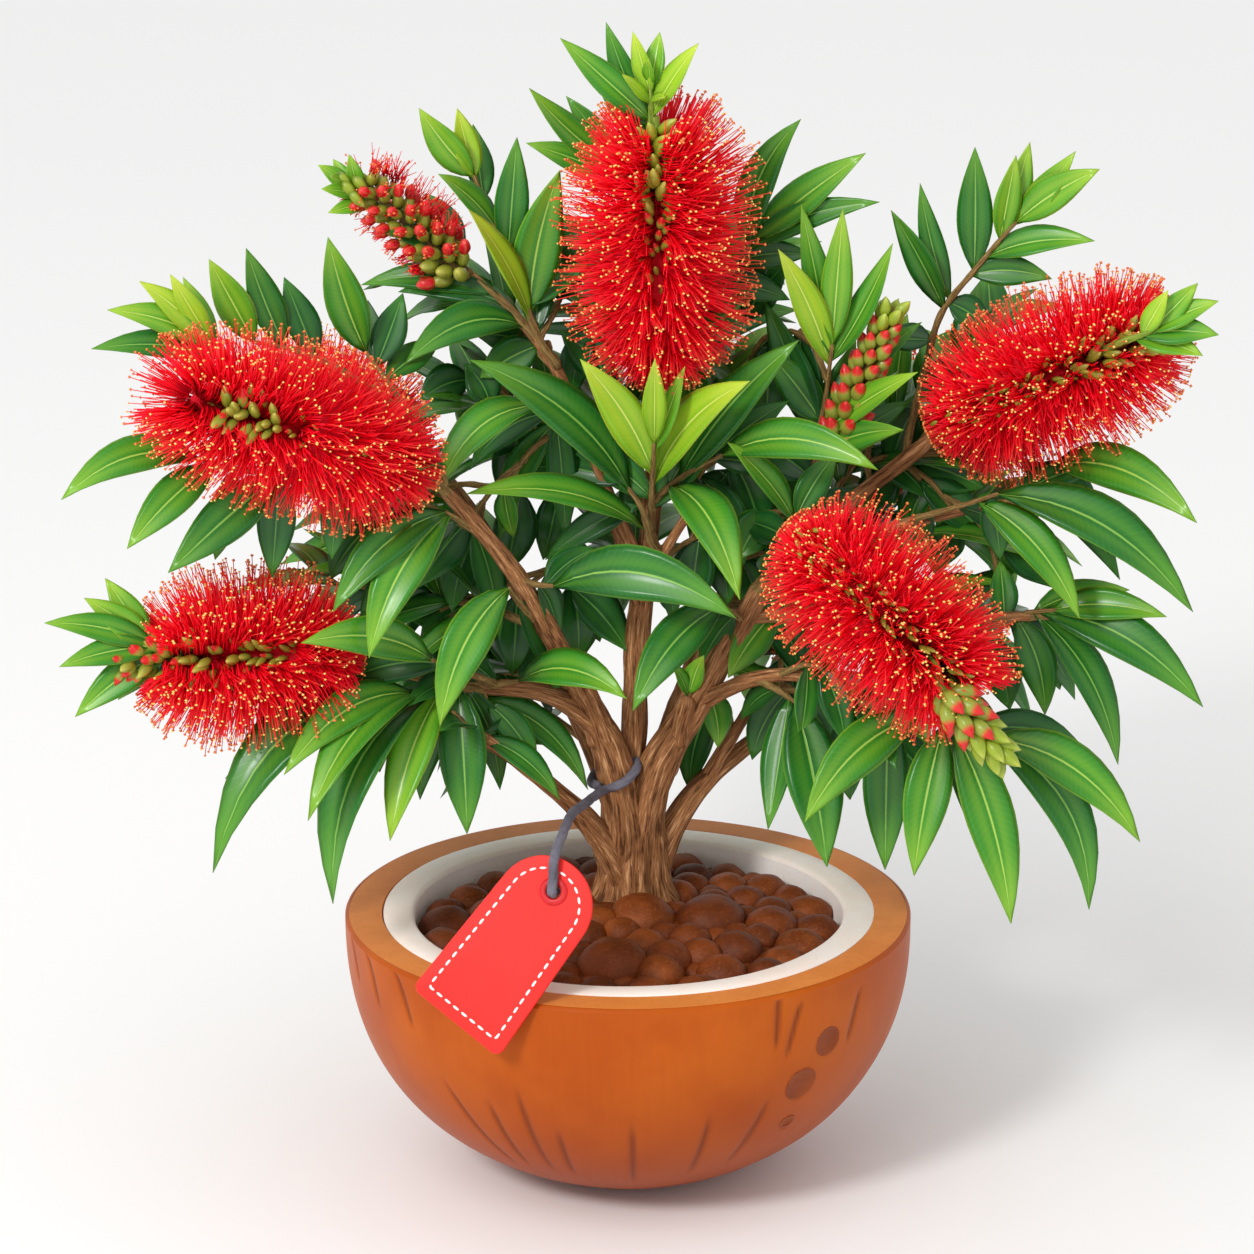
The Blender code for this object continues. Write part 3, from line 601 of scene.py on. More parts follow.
def trunk_into(heap):
    x0, y0 = TRUNK_FOOT
    rows, sides = 30, 64
    a = 2 * np.pi * np.arange(sides) / sides
    verts, uv_rows = [], []
    for i in range(rows):
        s = i / (rows - 1)
        z = BED_TOP_Z - 3.0 + s * 41.0
        up = max(z - BED_TOP_Z, 0.0)
        r = 10.6 + 3.6 * math.exp(-up / 5.5) - 1.0 * (up / 36.0) ** 2
        r *= 1.0 - 0.55 * max((up - 23.0) / 15.0, 0.0) ** 1.5
        lobe = 0.10 + 0.09 * math.exp(-up / 7.0)
        ridge = (1 + lobe * np.cos(5 * a + 0.6 + 0.012 * up) + 0.10 * np.cos(2 * a)
                 + 0.045 * np.sin(11 * a + 0.10 * up + 1.0 * np.sin(0.2 * up))
                 + 0.022 * np.sin(19 * a - 0.16 * up) + 0.012 * np.sin(31 * a + 0.4 * up))
        cx, cy = x0 + 1.2 * up / 36.0, y0 - 4.5 * up / 36.0
        verts.append(np.stack([cx + r * ridge * np.cos(a), cy + 0.86 * r * ridge * np.sin(a),
                               np.full(sides, z)], axis=1))
        uv_rows.append(z)
    top = np.array([[x0 + 1.2, y0 - 4.5, uv_rows[-1] + 1.0]])
    bottom = np.array([[x0, y0, uv_rows[0]]])
    flat = np.concatenate(verts + [top, bottom])
    quads = grid_faces(rows, sides)
    uvq = []
    for k in range(rows - 1):
        for j in range(sides):
            u0, u1 = j / sides * 64, (j + 1) / sides * 64
            uvq.append([(u0, uv_rows[k]), (u1, uv_rows[k]), (u1, uv_rows[k + 1]), (u0, uv_rows[k + 1])])
    start = heap.n
    heap.add(flat, quads, np.array(uvq))
    caps = []
    n = rows * sides
    for j in range(sides):
        k = (j + 1) % sides
        caps.append((n - sides + j, n - sides + k, n))
        caps.append((k, j, n + 1))
    heap.add(np.zeros((0, 3)), np.array(caps), np.array([[(0, 0), (4, 0), (4, 4)]] * len(caps)))
    heap.f[-1] = np.array(caps) + start


trunk_heap = Heap("bark_trunk", [MAT_BARK], "grain")
trunk_into(trunk_heap)

# ------------------------------------------------------------------ leaves
ROWS, COLS = 11, 7


def leaf_template():
    """index lists for one closed blade: upper and lower skins that share
    the outline"""
    top = np.arange(ROWS * COLS).reshape(ROWS, COLS)
    low = top.copy()
    count = ROWS * COLS
    for i in range(1, ROWS - 1):
        for j in range(1, COLS - 1):
            low[i, j] = count
            count += 1
    faces, uvs = [], []
    for i in range(ROWS - 1):
        for j in range(COLS - 1):
            v0, v1 = i / (ROWS - 1), (i + 1) / (ROWS - 1)
            u0, u1 = j / (COLS - 1), (j + 1) / (COLS - 1)
            faces.append((top[i, j], top[i, j + 1], top[i + 1, j + 1], top[i + 1, j]))
            uvs.append([(a * 0.48 + 0.01, b * 0.98 + 0.01) for a, b in
                        ((u0, v0), (u1, v0), (u1, v1), (u0, v1))])
            faces.append((low[i, j], low[i + 1, j], low[i + 1, j + 1], low[i, j + 1]))
            uvs.append([(a * 0.48 + 0.51, b * 0.98 + 0.01) for a, b in
                        ((u0, v0), (u0, v1), (u1, v1), (u1, v0))])
    return top, low, np.array(faces), np.array(uvs), count


LEAF_TOP, LEAF_LOW, LEAF_FACES, LEAF_UV, LEAF_COUNT = leaf_template()
leaf_heaps = {k: Heap("leaves_" + k, [m], "OFBake") for k, m in LEAF_MATS.items()}
rng = random.Random(41)


def leaf(tint, base, tip, width, arch=0.0, face=(0.0, -0.8, 0.6), fold=0.20, roll=0.0, bend=0.0):
    """one blade from base to tip; arch lifts its middle by that share of
    its length, bend carries it sideways, face is the way its upper side
    looks, roll turns it about its length"""
    base, tip = np.asarray(base, float), np.asarray(tip, float)
    span = tip - base
    length = np.linalg.norm(span)
    d = span / length
    face = np.asarray(face, float)
    nor = unit(face - d * face.dot(d))
    side = np.cross(d, nor)
    if roll:
        nor, side = (nor * math.cos(roll) + side * math.sin(roll),
                     side * math.cos(roll) - nor * math.sin(roll))
    up = np.array([0, 0, 1.0]) - d * d[2]
    if np.linalg.norm(up) < 0.25:
        up = nor
    up = unit(up)
    ctrl = base + span * 0.45 + up * (2 * arch * length) + side * (2 * bend * length)
    s = np.linspace(0, 1, ROWS)
    s = s + 0.035 * np.sin(2 * np.pi * s)          # closer rows at both ends
    mid = ((1 - s) ** 2)[:, None] * base + (2 * s * (1 - s))[:, None] * ctrl + (s ** 2)[:, None] * tip
    tan = unit(2 * (1 - s)[:, None] * (ctrl - base) + 2 * s[:, None] * (tip - ctrl))
    sides = unit(side - tan * (tan @ side)[:, None])
    nors = np.cross(sides, tan)
    flip = np.sign(np.sum(nors * nor, axis=1).mean())
    nors = nors * flip
    shape = np.sin(np.pi * np.clip(s, 0, 1) ** 0.86) ** 0.94
    shape = np.where(s < 0.08, np.maximum(shape * 0.6, 0.08), shape)
    shape[0], shape[-1] = 0.085, 0.012
    half = width / 2 * shape
    c = np.linspace(-1, 1, COLS)
    wav = 0.05 * np.sin(9 * s + length)[:, None] * (np.abs(c) > 0.9)[None, :]
    lift = (fold * np.abs(c) ** 1.25)[None, :] * half[:, None] + wav * half[:, None]
    groove = np.where(np.abs(c) < 0.01, -0.16, 0.0)[None, :] * (half > 1.0)[:, None]
    pts = (mid[:, None, :] + sides[:, None, :] * (half[:, None] * c[None, :])[:, :, None]
           + nors[:, None, :] * (lift + groove)[:, :, None])
    out = np.zeros((LEAF_COUNT, 3))
    out[LEAF_TOP.reshape(-1)] = pts.reshape(-1, 3)
    thick = 0.42
    for i in range(1, ROWS - 1):
        for j in range(1, COLS - 1):
            rib = 0.45 if j == COLS // 2 else 0.0
            out[LEAF_LOW[i, j]] = pts[i, j] - nors[i] * (thick + rib)
    faces, uvs = LEAF_FACES, LEAF_UV
    if np.dot(np.cross(sides[5], tan[5]), nors[5]) < 0:
        faces = faces[:, ::-1]
        uvs = uvs[:, ::-1]
    leaf_heaps[tint].add(out, faces, uvs)


twigs = Heap("twigs_brown", [MAT_TWIG], "grain")
green_twigs = Heap("twigs_green", [MAT_GREEN_TWIG], "grain")


def twig(route, r0=1.5, r1=0.8, green=False):
    """slender shoot through the points given, sprung from the nearest wood;
    returns the smooth path from the first point given"""
    root = joined(route[0])
    route = [tuple(p) for p in route]
    whole = False
    if root is not None and len(route) > 1:
        a, b = np.asarray(route[0]) - root, np.subtract(route[1], route[0])
        if a @ b < -0.1 * np.linalg.norm(a) * np.linalg.norm(b):    # never doubles back
            route, whole = route[1:], True
    pts = smooth_path(([tuple(root)] if root is not None else []) + route, 7)
    radii = np.linspace(r0, r1, len(pts))
    knots = 1 + 0.09 * np.sin(np.arange(len(pts)) * 1.9)
    tube_into(green_twigs if green else twigs, pts, radii * knots, 8, 0, True)
    CARRIERS.append((pts, radii))
    return pts[7:] if root is not None and not whole else pts


end_rng = random.Random(19)
for end, way, r, signs in LIMB_ENDS:   # each limb runs out in a thin, leafy shoot
    for sign in signs:
        across = unit(np.cross(way, np.array([0, 0, 1.0])))
        go = unit(way * 0.8 + across * sign * 0.7 + np.array([0, 0, end_rng.uniform(-0.3, 0.1)]))
        leaf("dark", end + way * 6, end + way * 6 + go * end_rng.uniform(30, 38), 11.5, 0.10,
             (0.1 * sign, -0.7, 0.6))
    twig([tuple(end - way), tuple(end + way * 8), tuple(end + way * 15 + np.array([0, 0, 2.0]))], r, 0.8)


def on(path, t):
    """point at share t along a path"""
    x = min(max(t, 0.0), 1.0) * (len(path) - 1)
    i = min(int(x), len(path) - 2)
    return path[i] + (path[i + 1] - path[i]) * (x - i)


# Axis of each spike (its two ends), radius of the bristles, and the share
# of the axis along which the buds show in the parting that faces front.
def seen(u0, v0, y0, u1, v1, y1, radius, shown, count):
    """shown: share of the axis at which the parting opens and closes, and
    how wide it is"""
    return (np.array(sight(u0, v0, y0)), np.array(sight(u1, v1, y1)), radius, shown, count)


def behind(foot, tip, radius):
    foot, tip = np.array(foot, float), np.array(tip, float)
    d = (tip - foot) / np.linalg.norm(tip - foot)
    return (foot - d * 3.5, tip + d * 6.0, radius, None, 2700)


BLOOMS = {
    "bloom_top": seen(660, 386, 2, 655, 108, -13, 33.0, (0.26, 1.0, 1.0), 3800),
    "bloom_upper_left": seen(436, 474, -44, 150, 385, -84, 30.0, (0.58, 0.84, 1.5), 3600),
    "bloom_lower_left": seen(362, 652, -31, 142, 660, -56, 31.5, (0.42, 1.0, 1.25), 3400),
    "bloom_upper_right": seen(928, 430, 14, 1174, 324, -4, 31.0, (0.05, 1.0, 0.62), 3600),
    "bloom_lower_right": seen(786, 524, -42, 984, 706, -73, 30.5, (0.06, 1.0, 0.50), 3600),
    "bloom_back_top": behind((13, 72, 280), (18, 116, 322), 29.5),
    "bloom_back_left": behind((-79, 86, 243), (-132, 122, 254), 29.0),
    "bloom_back_right": behind((90, 78, 244), (144, 112, 254), 29.0),
    "bloom_back_low": behind((52, 68, 186), (86, 120, 194), 28.0),
}
# each spike springs from the nearest bough and carries what grows at its tip
for spec in BLOOMS.values():
    foot, tip = spec[0], spec[1]
    d = unit(tip - foot)
    twig([tuple(foot + d * 9), tuple(foot + d * 20)], 2.6, 2.2)
for spec in BLOOMS.values():
    foot, tip = spec[0], spec[1]
    CARRIERS.append((foot + (tip - foot) * np.linspace(0.1, 1, 14)[:, None], np.full(14, 1.6)))


# Shoots seen from the front. Each has a route of (u, v, depth) sight points
# and its leaves: share along the shoot, tip (u, v, depth), width, arch and
# tint. What a leaf hangs on is always its shoot.
SHOOTS = [
    # tuft above the top bloom
    dict(route=[(651, 140, -13), (651, 108, -13), (650, 84, -13)], green=True, leaves=[
        (0.30, 560, 38, -18, 12.5, 0.0, "mid"), (0.15, 606, 22, -6, 11.5, -0.03, "deep"),
        (0.75, 633, 31, -14, 8.5, 0.0, "young"), (0.9, 660, 32, -8, 9, 0.0, "light"),
        (0.35, 699, 43, -18, 11, 0.03, "young"), (0.6, 622, 74, -24, 6, 0.0, "young"),
        (0.7, 665, 97, -26, 5, 0.0, "young"), (1.0, 648, 58, -18, 6, 0.0, "light"),
        (0.0, 590, 70, 10, 11, 0.03, "deep")]),
    # leaves behind the top bloom
    dict(route=[(653, 385, 4), (640, 250, 26), (622, 170, 24)], leaves=[
        (0.92, 526, 143, 24, 13, 0.03, "mid"), (1.0, 529, 88, 14, 13, -0.04, "mid"),
        (0.98, 566, 96, 30, 12, 0.03, "deep"),
        (0.6, 540, 250, 34, 12, 0.08, "dark")]),
    dict(route=[(653, 385, 4), (700, 310, 24), (752, 240, 22)], leaves=[
        (0.96, 801, 119, 16, 15, 0.11, "deep"), (1.0, 866, 153, 14, 16, 0.02, "mid"),
        (0.92, 880, 202, 10, 12.5, 0.08, "deep"), (0.85, 812, 255, 20, 12, 0.06, "dark"),
        (0.7, 790, 300, 22, 12, 0.05, "dark")]),
    # upper left twig
    dict(route=[(558, 368, 10), (536, 332, 11), (512, 263, 11), (487, 208, 9), (474, 176, 8)],
         leaves=[
        (1.0, 419, 108, 0, 13.5, -0.03, "light"), (0.98, 457, 108, 6, 11, 0.0, "young"),
        (0.8, 473, 124, 22, 12, 0.0, "deep"), (0.54, 517, 137, 8, 14, 0.02, "deep"),
        (0.62, 438, 174, -8, 12.5, 0.06, "mid"), (0.32, 560, 170, 2, 20, 0.05, "mid"),
        (0.30, 468, 209, -14, 13, 0.05, "young"), (0.25, 540, 240, 26, 15, 0.03, "dark"),
        (0.35, 590, 262, 22, 13, 0.03, "deep")]),
    # leaves along the half-open spike's stem
    dict(route=[(537, 340, 12), (505, 305, 14), (478, 280, 17)], leaves=[
        (0.7, 361, 285, 26, 13, 0.10, "deep"), (0.2, 405, 364, -12, 17, 0.16, "deep"),
        (0.5, 398, 292, 20, 12, 0.10, "dark"), (0.3, 438, 345, 24, 13, 0.08, "dark")]),
    # centre left, in front
    dict(route=[(650, 540, 4), (640, 505, 2), (612, 470, 6)], leaves=[
        (0.7, 470, 360, -22, 21, 0.09, "deep"), (0.15, 466, 494, -34, 17, 0.10, "mid"),
        (0.8, 512, 470, 20, 14, 0.08, "dark"), (0.9, 530, 395, 22, 14, 0.04, "dark"),
        (0.5, 545, 560, 4, 12, 0.06, "dark")]),
    dict(route=[(585, 445, 10), (560, 420, 2), (541, 404, -4)], leaves=[
        (0.95, 436, 494, -26, 18, 0.19, "mid"), (0.7, 470, 470, 12, 14, 0.12, "dark"),
        (0.5, 500, 540, 14, 13, 0.10, "deep"), (0.6, 566, 540, 16, 13, 0.04, "dark")]),
    # young leaves at the centre
    dict(route=[(652, 530, 10), (652, 495, 2), (653, 470, -6), (654, 444, -12)], leaves=[
        (0.62, 580, 359, -26, 17, 0.05, "young"), (1.0, 655, 358, -30, 10, 0.0, "young"),
        (0.9, 685, 366, -22, 9, 0.0, "light"), (0.45, 750, 381, -34, 19, 0.09, "young"),
        (0.3, 566, 430, 12, 15, 0.03, "deep"), (0.2, 730, 420, 10, 14, 0.03, "deep")]),
    # centre right
    dict(route=[(655, 500, 6), (680, 478, 2), (722, 455, -4)], leaves=[
        (0.5, 799, 340, -6, 20, 0.05, "deep"), (1.0, 878, 470, -30, 17, 0.14, "mid"),
        (0.35, 740, 600, -44, 21, 0.16, "mid"), (0.8, 790, 400, 14, 15, 0.04, "dark"),
        (0.9, 766, 470, 18, 15, 0.05, "dark"), (0.5, 706, 520, 22, 14, 0.03, "dark"),
        (0.3, 720, 395, 12, 14, 0.0, "deep")]),
    dict(route=[(770, 575, 4), (786, 545, 2), (797, 516, 0)], leaves=[
        (0.9, 727, 442, -12, 14, 0.05, "mid"), (0.6, 742, 520, 16, 14, 0.05, "dark"),
        (1.0, 838, 452, 8, 13, 0.05, "deep")]),
    # low centre, in front of the fork
    dict(route=[(514, 576, -24), (534, 584, -22), (553, 586, -24)], leaves=[
        (1.0, 736, 618, -46, 22, 0.15, "deep"), (0.8, 596, 548, -10, 12, 0.08, "dark"),
        (0.6, 560, 640, -8, 13, 0.08, "dark")]),
    dict(route=[(480, 690, -5), (500, 684, -10), (518, 681, -14)], leaves=[
        (1.0, 627, 699, -36, 18, 0.17, "mid"), (0.4, 445, 655, 4, 12, 0.10, "dark")]),
    dict(route=[(742, 620, 3), (732, 612, -6), (722, 606, -12)], leaves=[
        (1.0, 633, 711, -40, 19, 0.12, "deep"), (0.5, 668, 640, 0, 13, 0.10, "dark"),
        (0.3, 700, 668, 10, 12, 0.06, "dark")]),
    dict(route=[(679, 732, 9), (686, 710, 6), (690, 694, 4)], leaves=[
        (1.0, 704, 655, 0, 9, 0.05, "light"), (0.9, 672, 664, -4, 7, 0.05, "mid")]),
    # above the upper left bloom
    dict(route=[(440, 470, -36), (400, 400, -22), (366, 352, -16)], leaves=[
        (1.0, 328, 237, -22, 16.5, -0.03, "mid"), (0.85, 403, 293, -4, 14, -0.02, "dark"),
        (0.7, 440, 340, 6, 13, 0.03, "deep"), (0.9, 368, 300, 30, 12, 0.0, "dark")]),
    dict(route=[(400, 410, -24), (345, 372, -24), (295, 350, -24), (254, 342, -28)], leaves=[
        (0.74, 246, 248, -26, 14.5, -0.02, "deep"), (0.52, 284, 277, -18, 14, 0.0, "dark"),
        (1.0, 209, 259, -32, 14.5, 0.0, "light")]),
    # tuft at the end of the upper left bloom
    dict(route=[(235, 385, -60), (225, 362, -56), (212, 344, -54)], green=True, leaves=[
        (0.9, 107, 310, -64, 13, 0.08, "light"), (0.95, 139, 281, -58, 12, 0.04, "young"),
        (1.0, 170, 274, -56, 10, 0.0, "young"), (0.9, 183, 277, -46, 10, 0.0, "light"),
        (0.6, 91, 349, -68, 13, 0.07, "deep"), (0.7, 150, 330, -44, 10, 0.06, "mid")]),
    # under the upper left bloom
    dict(route=[(440, 475, -40), (340, 480, -50), (240, 470, -58), (200, 460, -62)], leaves=[
        (1.0, 61, 500, -84, 16, 0.16, "mid"), (0.85, 127, 549, -80, 16, 0.05, "mid"),
        (0.52, 168, 573, -76, 19, 0.02, "deep"), (0.52, 272, 577, -50, 15.5, 0.0, "dark"),
        (0.7, 215, 560, -56, 13, 0.06, "dark"), (0.3, 332, 560, -52, 13, 0.06, "dark")]),
    # tuft at the end of the lower left bloom
    dict(route=[(180, 652, -54), (160, 648, -56), (142, 646, -58)], green=True, leaves=[
        (0.6, 44, 623, -66, 12, 0.07, "mid"), (0.7, 84, 598, -58, 12, 0.04, "light"),
        (0.8, 105, 578, -50, 12, 0.02, "light"), (0.5, 59, 667, -70, 12, 0.06, "mid"),
        (0.3, 75, 717, -66, 14, 0.05, "mid"), (0.2, 118, 700, -44, 11, 0.05, "deep")]),
    # drooping from the left bough
    dict(route=[(480, 534, -30), (462, 522, -36), (446, 512, -42)], leaves=[
        (1.0, 333, 612, -62, 17, 0.12, "deep"), (0.9, 369, 658, -66, 19, 0.12, "mid"),
        (0.6, 410, 560, -16, 14, 0.06, "dark"),
        (0.2, 500, 640, -8, 13, 0.08, "dark")]),
    dict(route=[(536, 620, -14), (520, 604, -22), (509, 588, -30)], leaves=[
        (1.0, 440, 726, -52, 19, 0.13, "mid"), (0.6, 560, 700, 2, 13, 0.08, "dark")]),
    dict(route=[(500, 686, -6), (465, 672, -28), (432, 660, -44)], leaves=[
        (1.0, 301, 643, -74, 17, 0.10, "mid"), (0.8, 330, 690, -30, 15, 0.10, "dark")]),
    # low left
    dict(route=[(482, 690, -8), (456, 688, -18), (430, 690, -26), (412, 694, -32)], leaves=[
        (1.0, 213, 873, -66, 24, 0.23, "deep"), (0.85, 308, 821, -74, 19, 0.17, "mid"),
        (0.6, 333, 904, -58, 25, 0.22, "deep"), (0.5, 390, 841, -52, 18, 0.10, "light"),
        (0.3, 467, 834, -34, 20, 0.05, "deep"), (0.9, 225, 779, -46, 15, 0.12, "dark"),
        (0.95, 284, 775, -68, 17, 0.15, "mid"), (0.4, 420, 800, -8, 15, 0.08, "dark"),
        (0.2, 500, 790, -4, 14, 0.08, "dark")]),
    dict(route=[(500, 752, -18), (490, 742, -19), (482, 737, -20)], leaves=[
        (0.9, 560, 800, -22, 12, 0.10, "deep"), (1.0, 545, 745, 4, 12, 0.10, "dark")]),
    dict(route=[(478, 690, -7), (487, 703, -9)], leaves=[
        (1.0, 537, 768, -16, 13, 0.08, "deep"), (0.8, 588, 790, 0, 14, 0.12, "deep")]),
    # round the closed bud spike
    dict(route=[(808, 545, 16), (812, 490, 15), (818, 440, 15), (826, 395, 14), (832, 345, 10)], leaves=[
        (0.95, 801, 204, 12, 13, 0.02, "mid"), (1.0, 843, 209, 2, 13, 0.0, "light"),
        (0.90, 778, 249, -4, 13.5, 0.04, "young"), (0.92, 893, 243, 4, 12.5, -0.03, "mid"),
        (0.52, 918, 372, -10, 13, 0.03, "light"), (0.42, 904, 430, -8, 13, 0.07, "mid"),
        (0.6, 768, 352, 22, 16, 0.03, "deep"), (0.35, 912, 400, 26, 15, 0.04, "dark"),
        (0.3, 752, 440, 26, 17, 0.05, "dark"), (0.72, 922, 322, 20, 13, 0.02, "deep"),
        (0.5, 764, 300, 26, 16, 0.02, "dark"), (0.15, 876, 500, 20, 15, 0.05, "dark"),
        (0.45, 856, 340, 26, 14, 0.0, "deep")]),
    # upper right twig
    dict(route=[(908, 440, 26), (925, 370, 30), (941, 314, 30), (974, 271, 28), (1000, 240, 27),
                (1016, 222, 26)], leaves=[
        (0.42, 891, 210, 24, 12.5, 0.02, "deep"), (0.46, 920, 183, 30, 10.5, -0.03, "deep"),
        (0.60, 975, 147, 26, 15, -0.05, "deep"), (0.80, 1016, 155, 22, 11.5, 0.0, "light"),
        (0.86, 1030, 142, 26, 12, 0.0, "light"), (0.97, 1076, 151, 22, 11.5, -0.02, "light"),
        (1.0, 1100, 169, 16, 15, 0.04, "light"), (0.68, 1095, 241, 16, 14, 0.075, "mid"),
        (0.58, 1052, 279, 22, 13, 0.08, "deep"), (0.45, 990, 330, 26, 14, 0.06, "dark"),
        (0.30, 880, 340, 34, 14, 0.03, "dark"), (0.2, 960, 392, 40, 16, 0.05, "dark"),
        (0.1, 890, 470, 34, 16, 0.05, "dark")]),
    # tuft at the end of the upper right bloom
    dict(route=[(1118, 343, -18), (1138, 337, -26), (1158, 328, -28)], green=True, leaves=[
        (0.6, 1168, 290, -30, 8.5, 0.0, "young"), (0.8, 1198, 283, -26, 10.5, 0.0, "light"),
        (0.8, 1219, 301, -28, 11.5, 0.04, "light"), (0.6, 1219, 335, -32, 12.5, 0.06, "mid"),
        (0.4, 1203, 356, -34, 12.5, 0.06, "light"), (1.0, 1185, 300, -16, 8, 0.0, "mid")]),
    # right, under the upper right bloom
    dict(route=[(905, 452, 22), (957, 452, 30), (1008, 458, 26), (1052, 466, 10)], leaves=[
        (1.0, 1197, 523, -30, 19, 0.135, "mid"), (0.75, 1120, 580, 4, 15, 0.08, "dark"),
        (0.9, 1100, 520, 12, 14, 0.08, "dark")]),
    dict(route=[(918, 518, 0), (957, 507, -8), (998, 494, -17)], leaves=[
        (1.0, 1193, 612, -36, 23, 0.13, "deep"), (0.75, 1080, 619, -34, 17, 0.11, "mid"),
        (0.9, 1000, 560, -6, 13, 0.05, "dark"),
        (0.5, 1040, 560, 10, 13, 0.08, "dark"), (0.2, 905, 560, 14, 13, 0.08, "dark")]),
    # far right, low
    dict(route=[(1000, 624, -6), (1028, 613, -9), (1056, 610, -12)], leaves=[
        (0.9, 1167, 617, -24, 14, 0.08, "mid"), (0.7, 1203, 707, -34, 20, 0.12, "deep"),
        (0.6, 1118, 765, -22, 17, 0.11, "deep"), (0.6, 1130, 590, 0, 12, 0.08, "mid"),
        (0.3, 1045, 715, -10, 16, 0.08, "deep"), (0.25, 1075, 700, 8, 14, 0.08, "dark"),
        (0.1, 1000, 560, 4, 12, 0.05, "deep")]),
    # low right
    dict(route=[(846, 700, -22), (900, 712, -34), (950, 728, -42), (990, 738, -44)], leaves=[
        (1.0, 1140, 842, -58, 20, 0.135, "mid"), (0.95, 1089, 910, -50, 18, 0.17, "deep"),
        (0.70, 1011, 924, -62, 20, 0.07, "mid"), (0.62, 914, 876, -58, 19, 0.05, "mid"),
        (0.45, 805, 822, -64, 20, 0.13, "mid"), (0.26, 885, 870, -34, 19, 0.03, "deep"),
        (0.85, 1087, 753, -30, 16, 0.12, "dark"), (0.65, 985, 860, -30, 14, 0.05, "dark")]),
    dict(route=[(757, 679, -8), (778, 690, -14), (796, 703, -18)], leaves=[
        (1.0, 827, 867, -44, 24, 0.05, "deep"), (0.8, 768, 830, -34, 15, 0.0, "deep"),
        (0.9, 812, 800, -14, 14, 0.05, "dark"), (0.5, 740, 720, 6, 10, 0.08, "dark")]),
    dict(route=[(786, 672, -14), (804, 665, -18), (822, 668, -22)], leaves=[
        (1.0, 845, 745, -30, 14, 0.08, "dark"), (0.6, 800, 740, -24, 13, 0.05, "deep")]),
]

face_rng = random.Random(7)
for shoot in SHOOTS:
    path = twig([tuple(sight(*p)) for p in shoot["route"]], 1.7, 0.7, shoot.get("green", False))
    for t, u, v, y, w, arch, tint in shoot["leaves"]:
        base = on(path, t)
        tip = np.array(sight(u, v, y))
        face = (face_rng.uniform(-0.35, 0.35), -0.85, face_rng.uniform(0.35, 0.75))
        leaf(tint, base, tip, w * 0.86, arch, face, 0.22, face_rng.uniform(-0.25, 0.25))
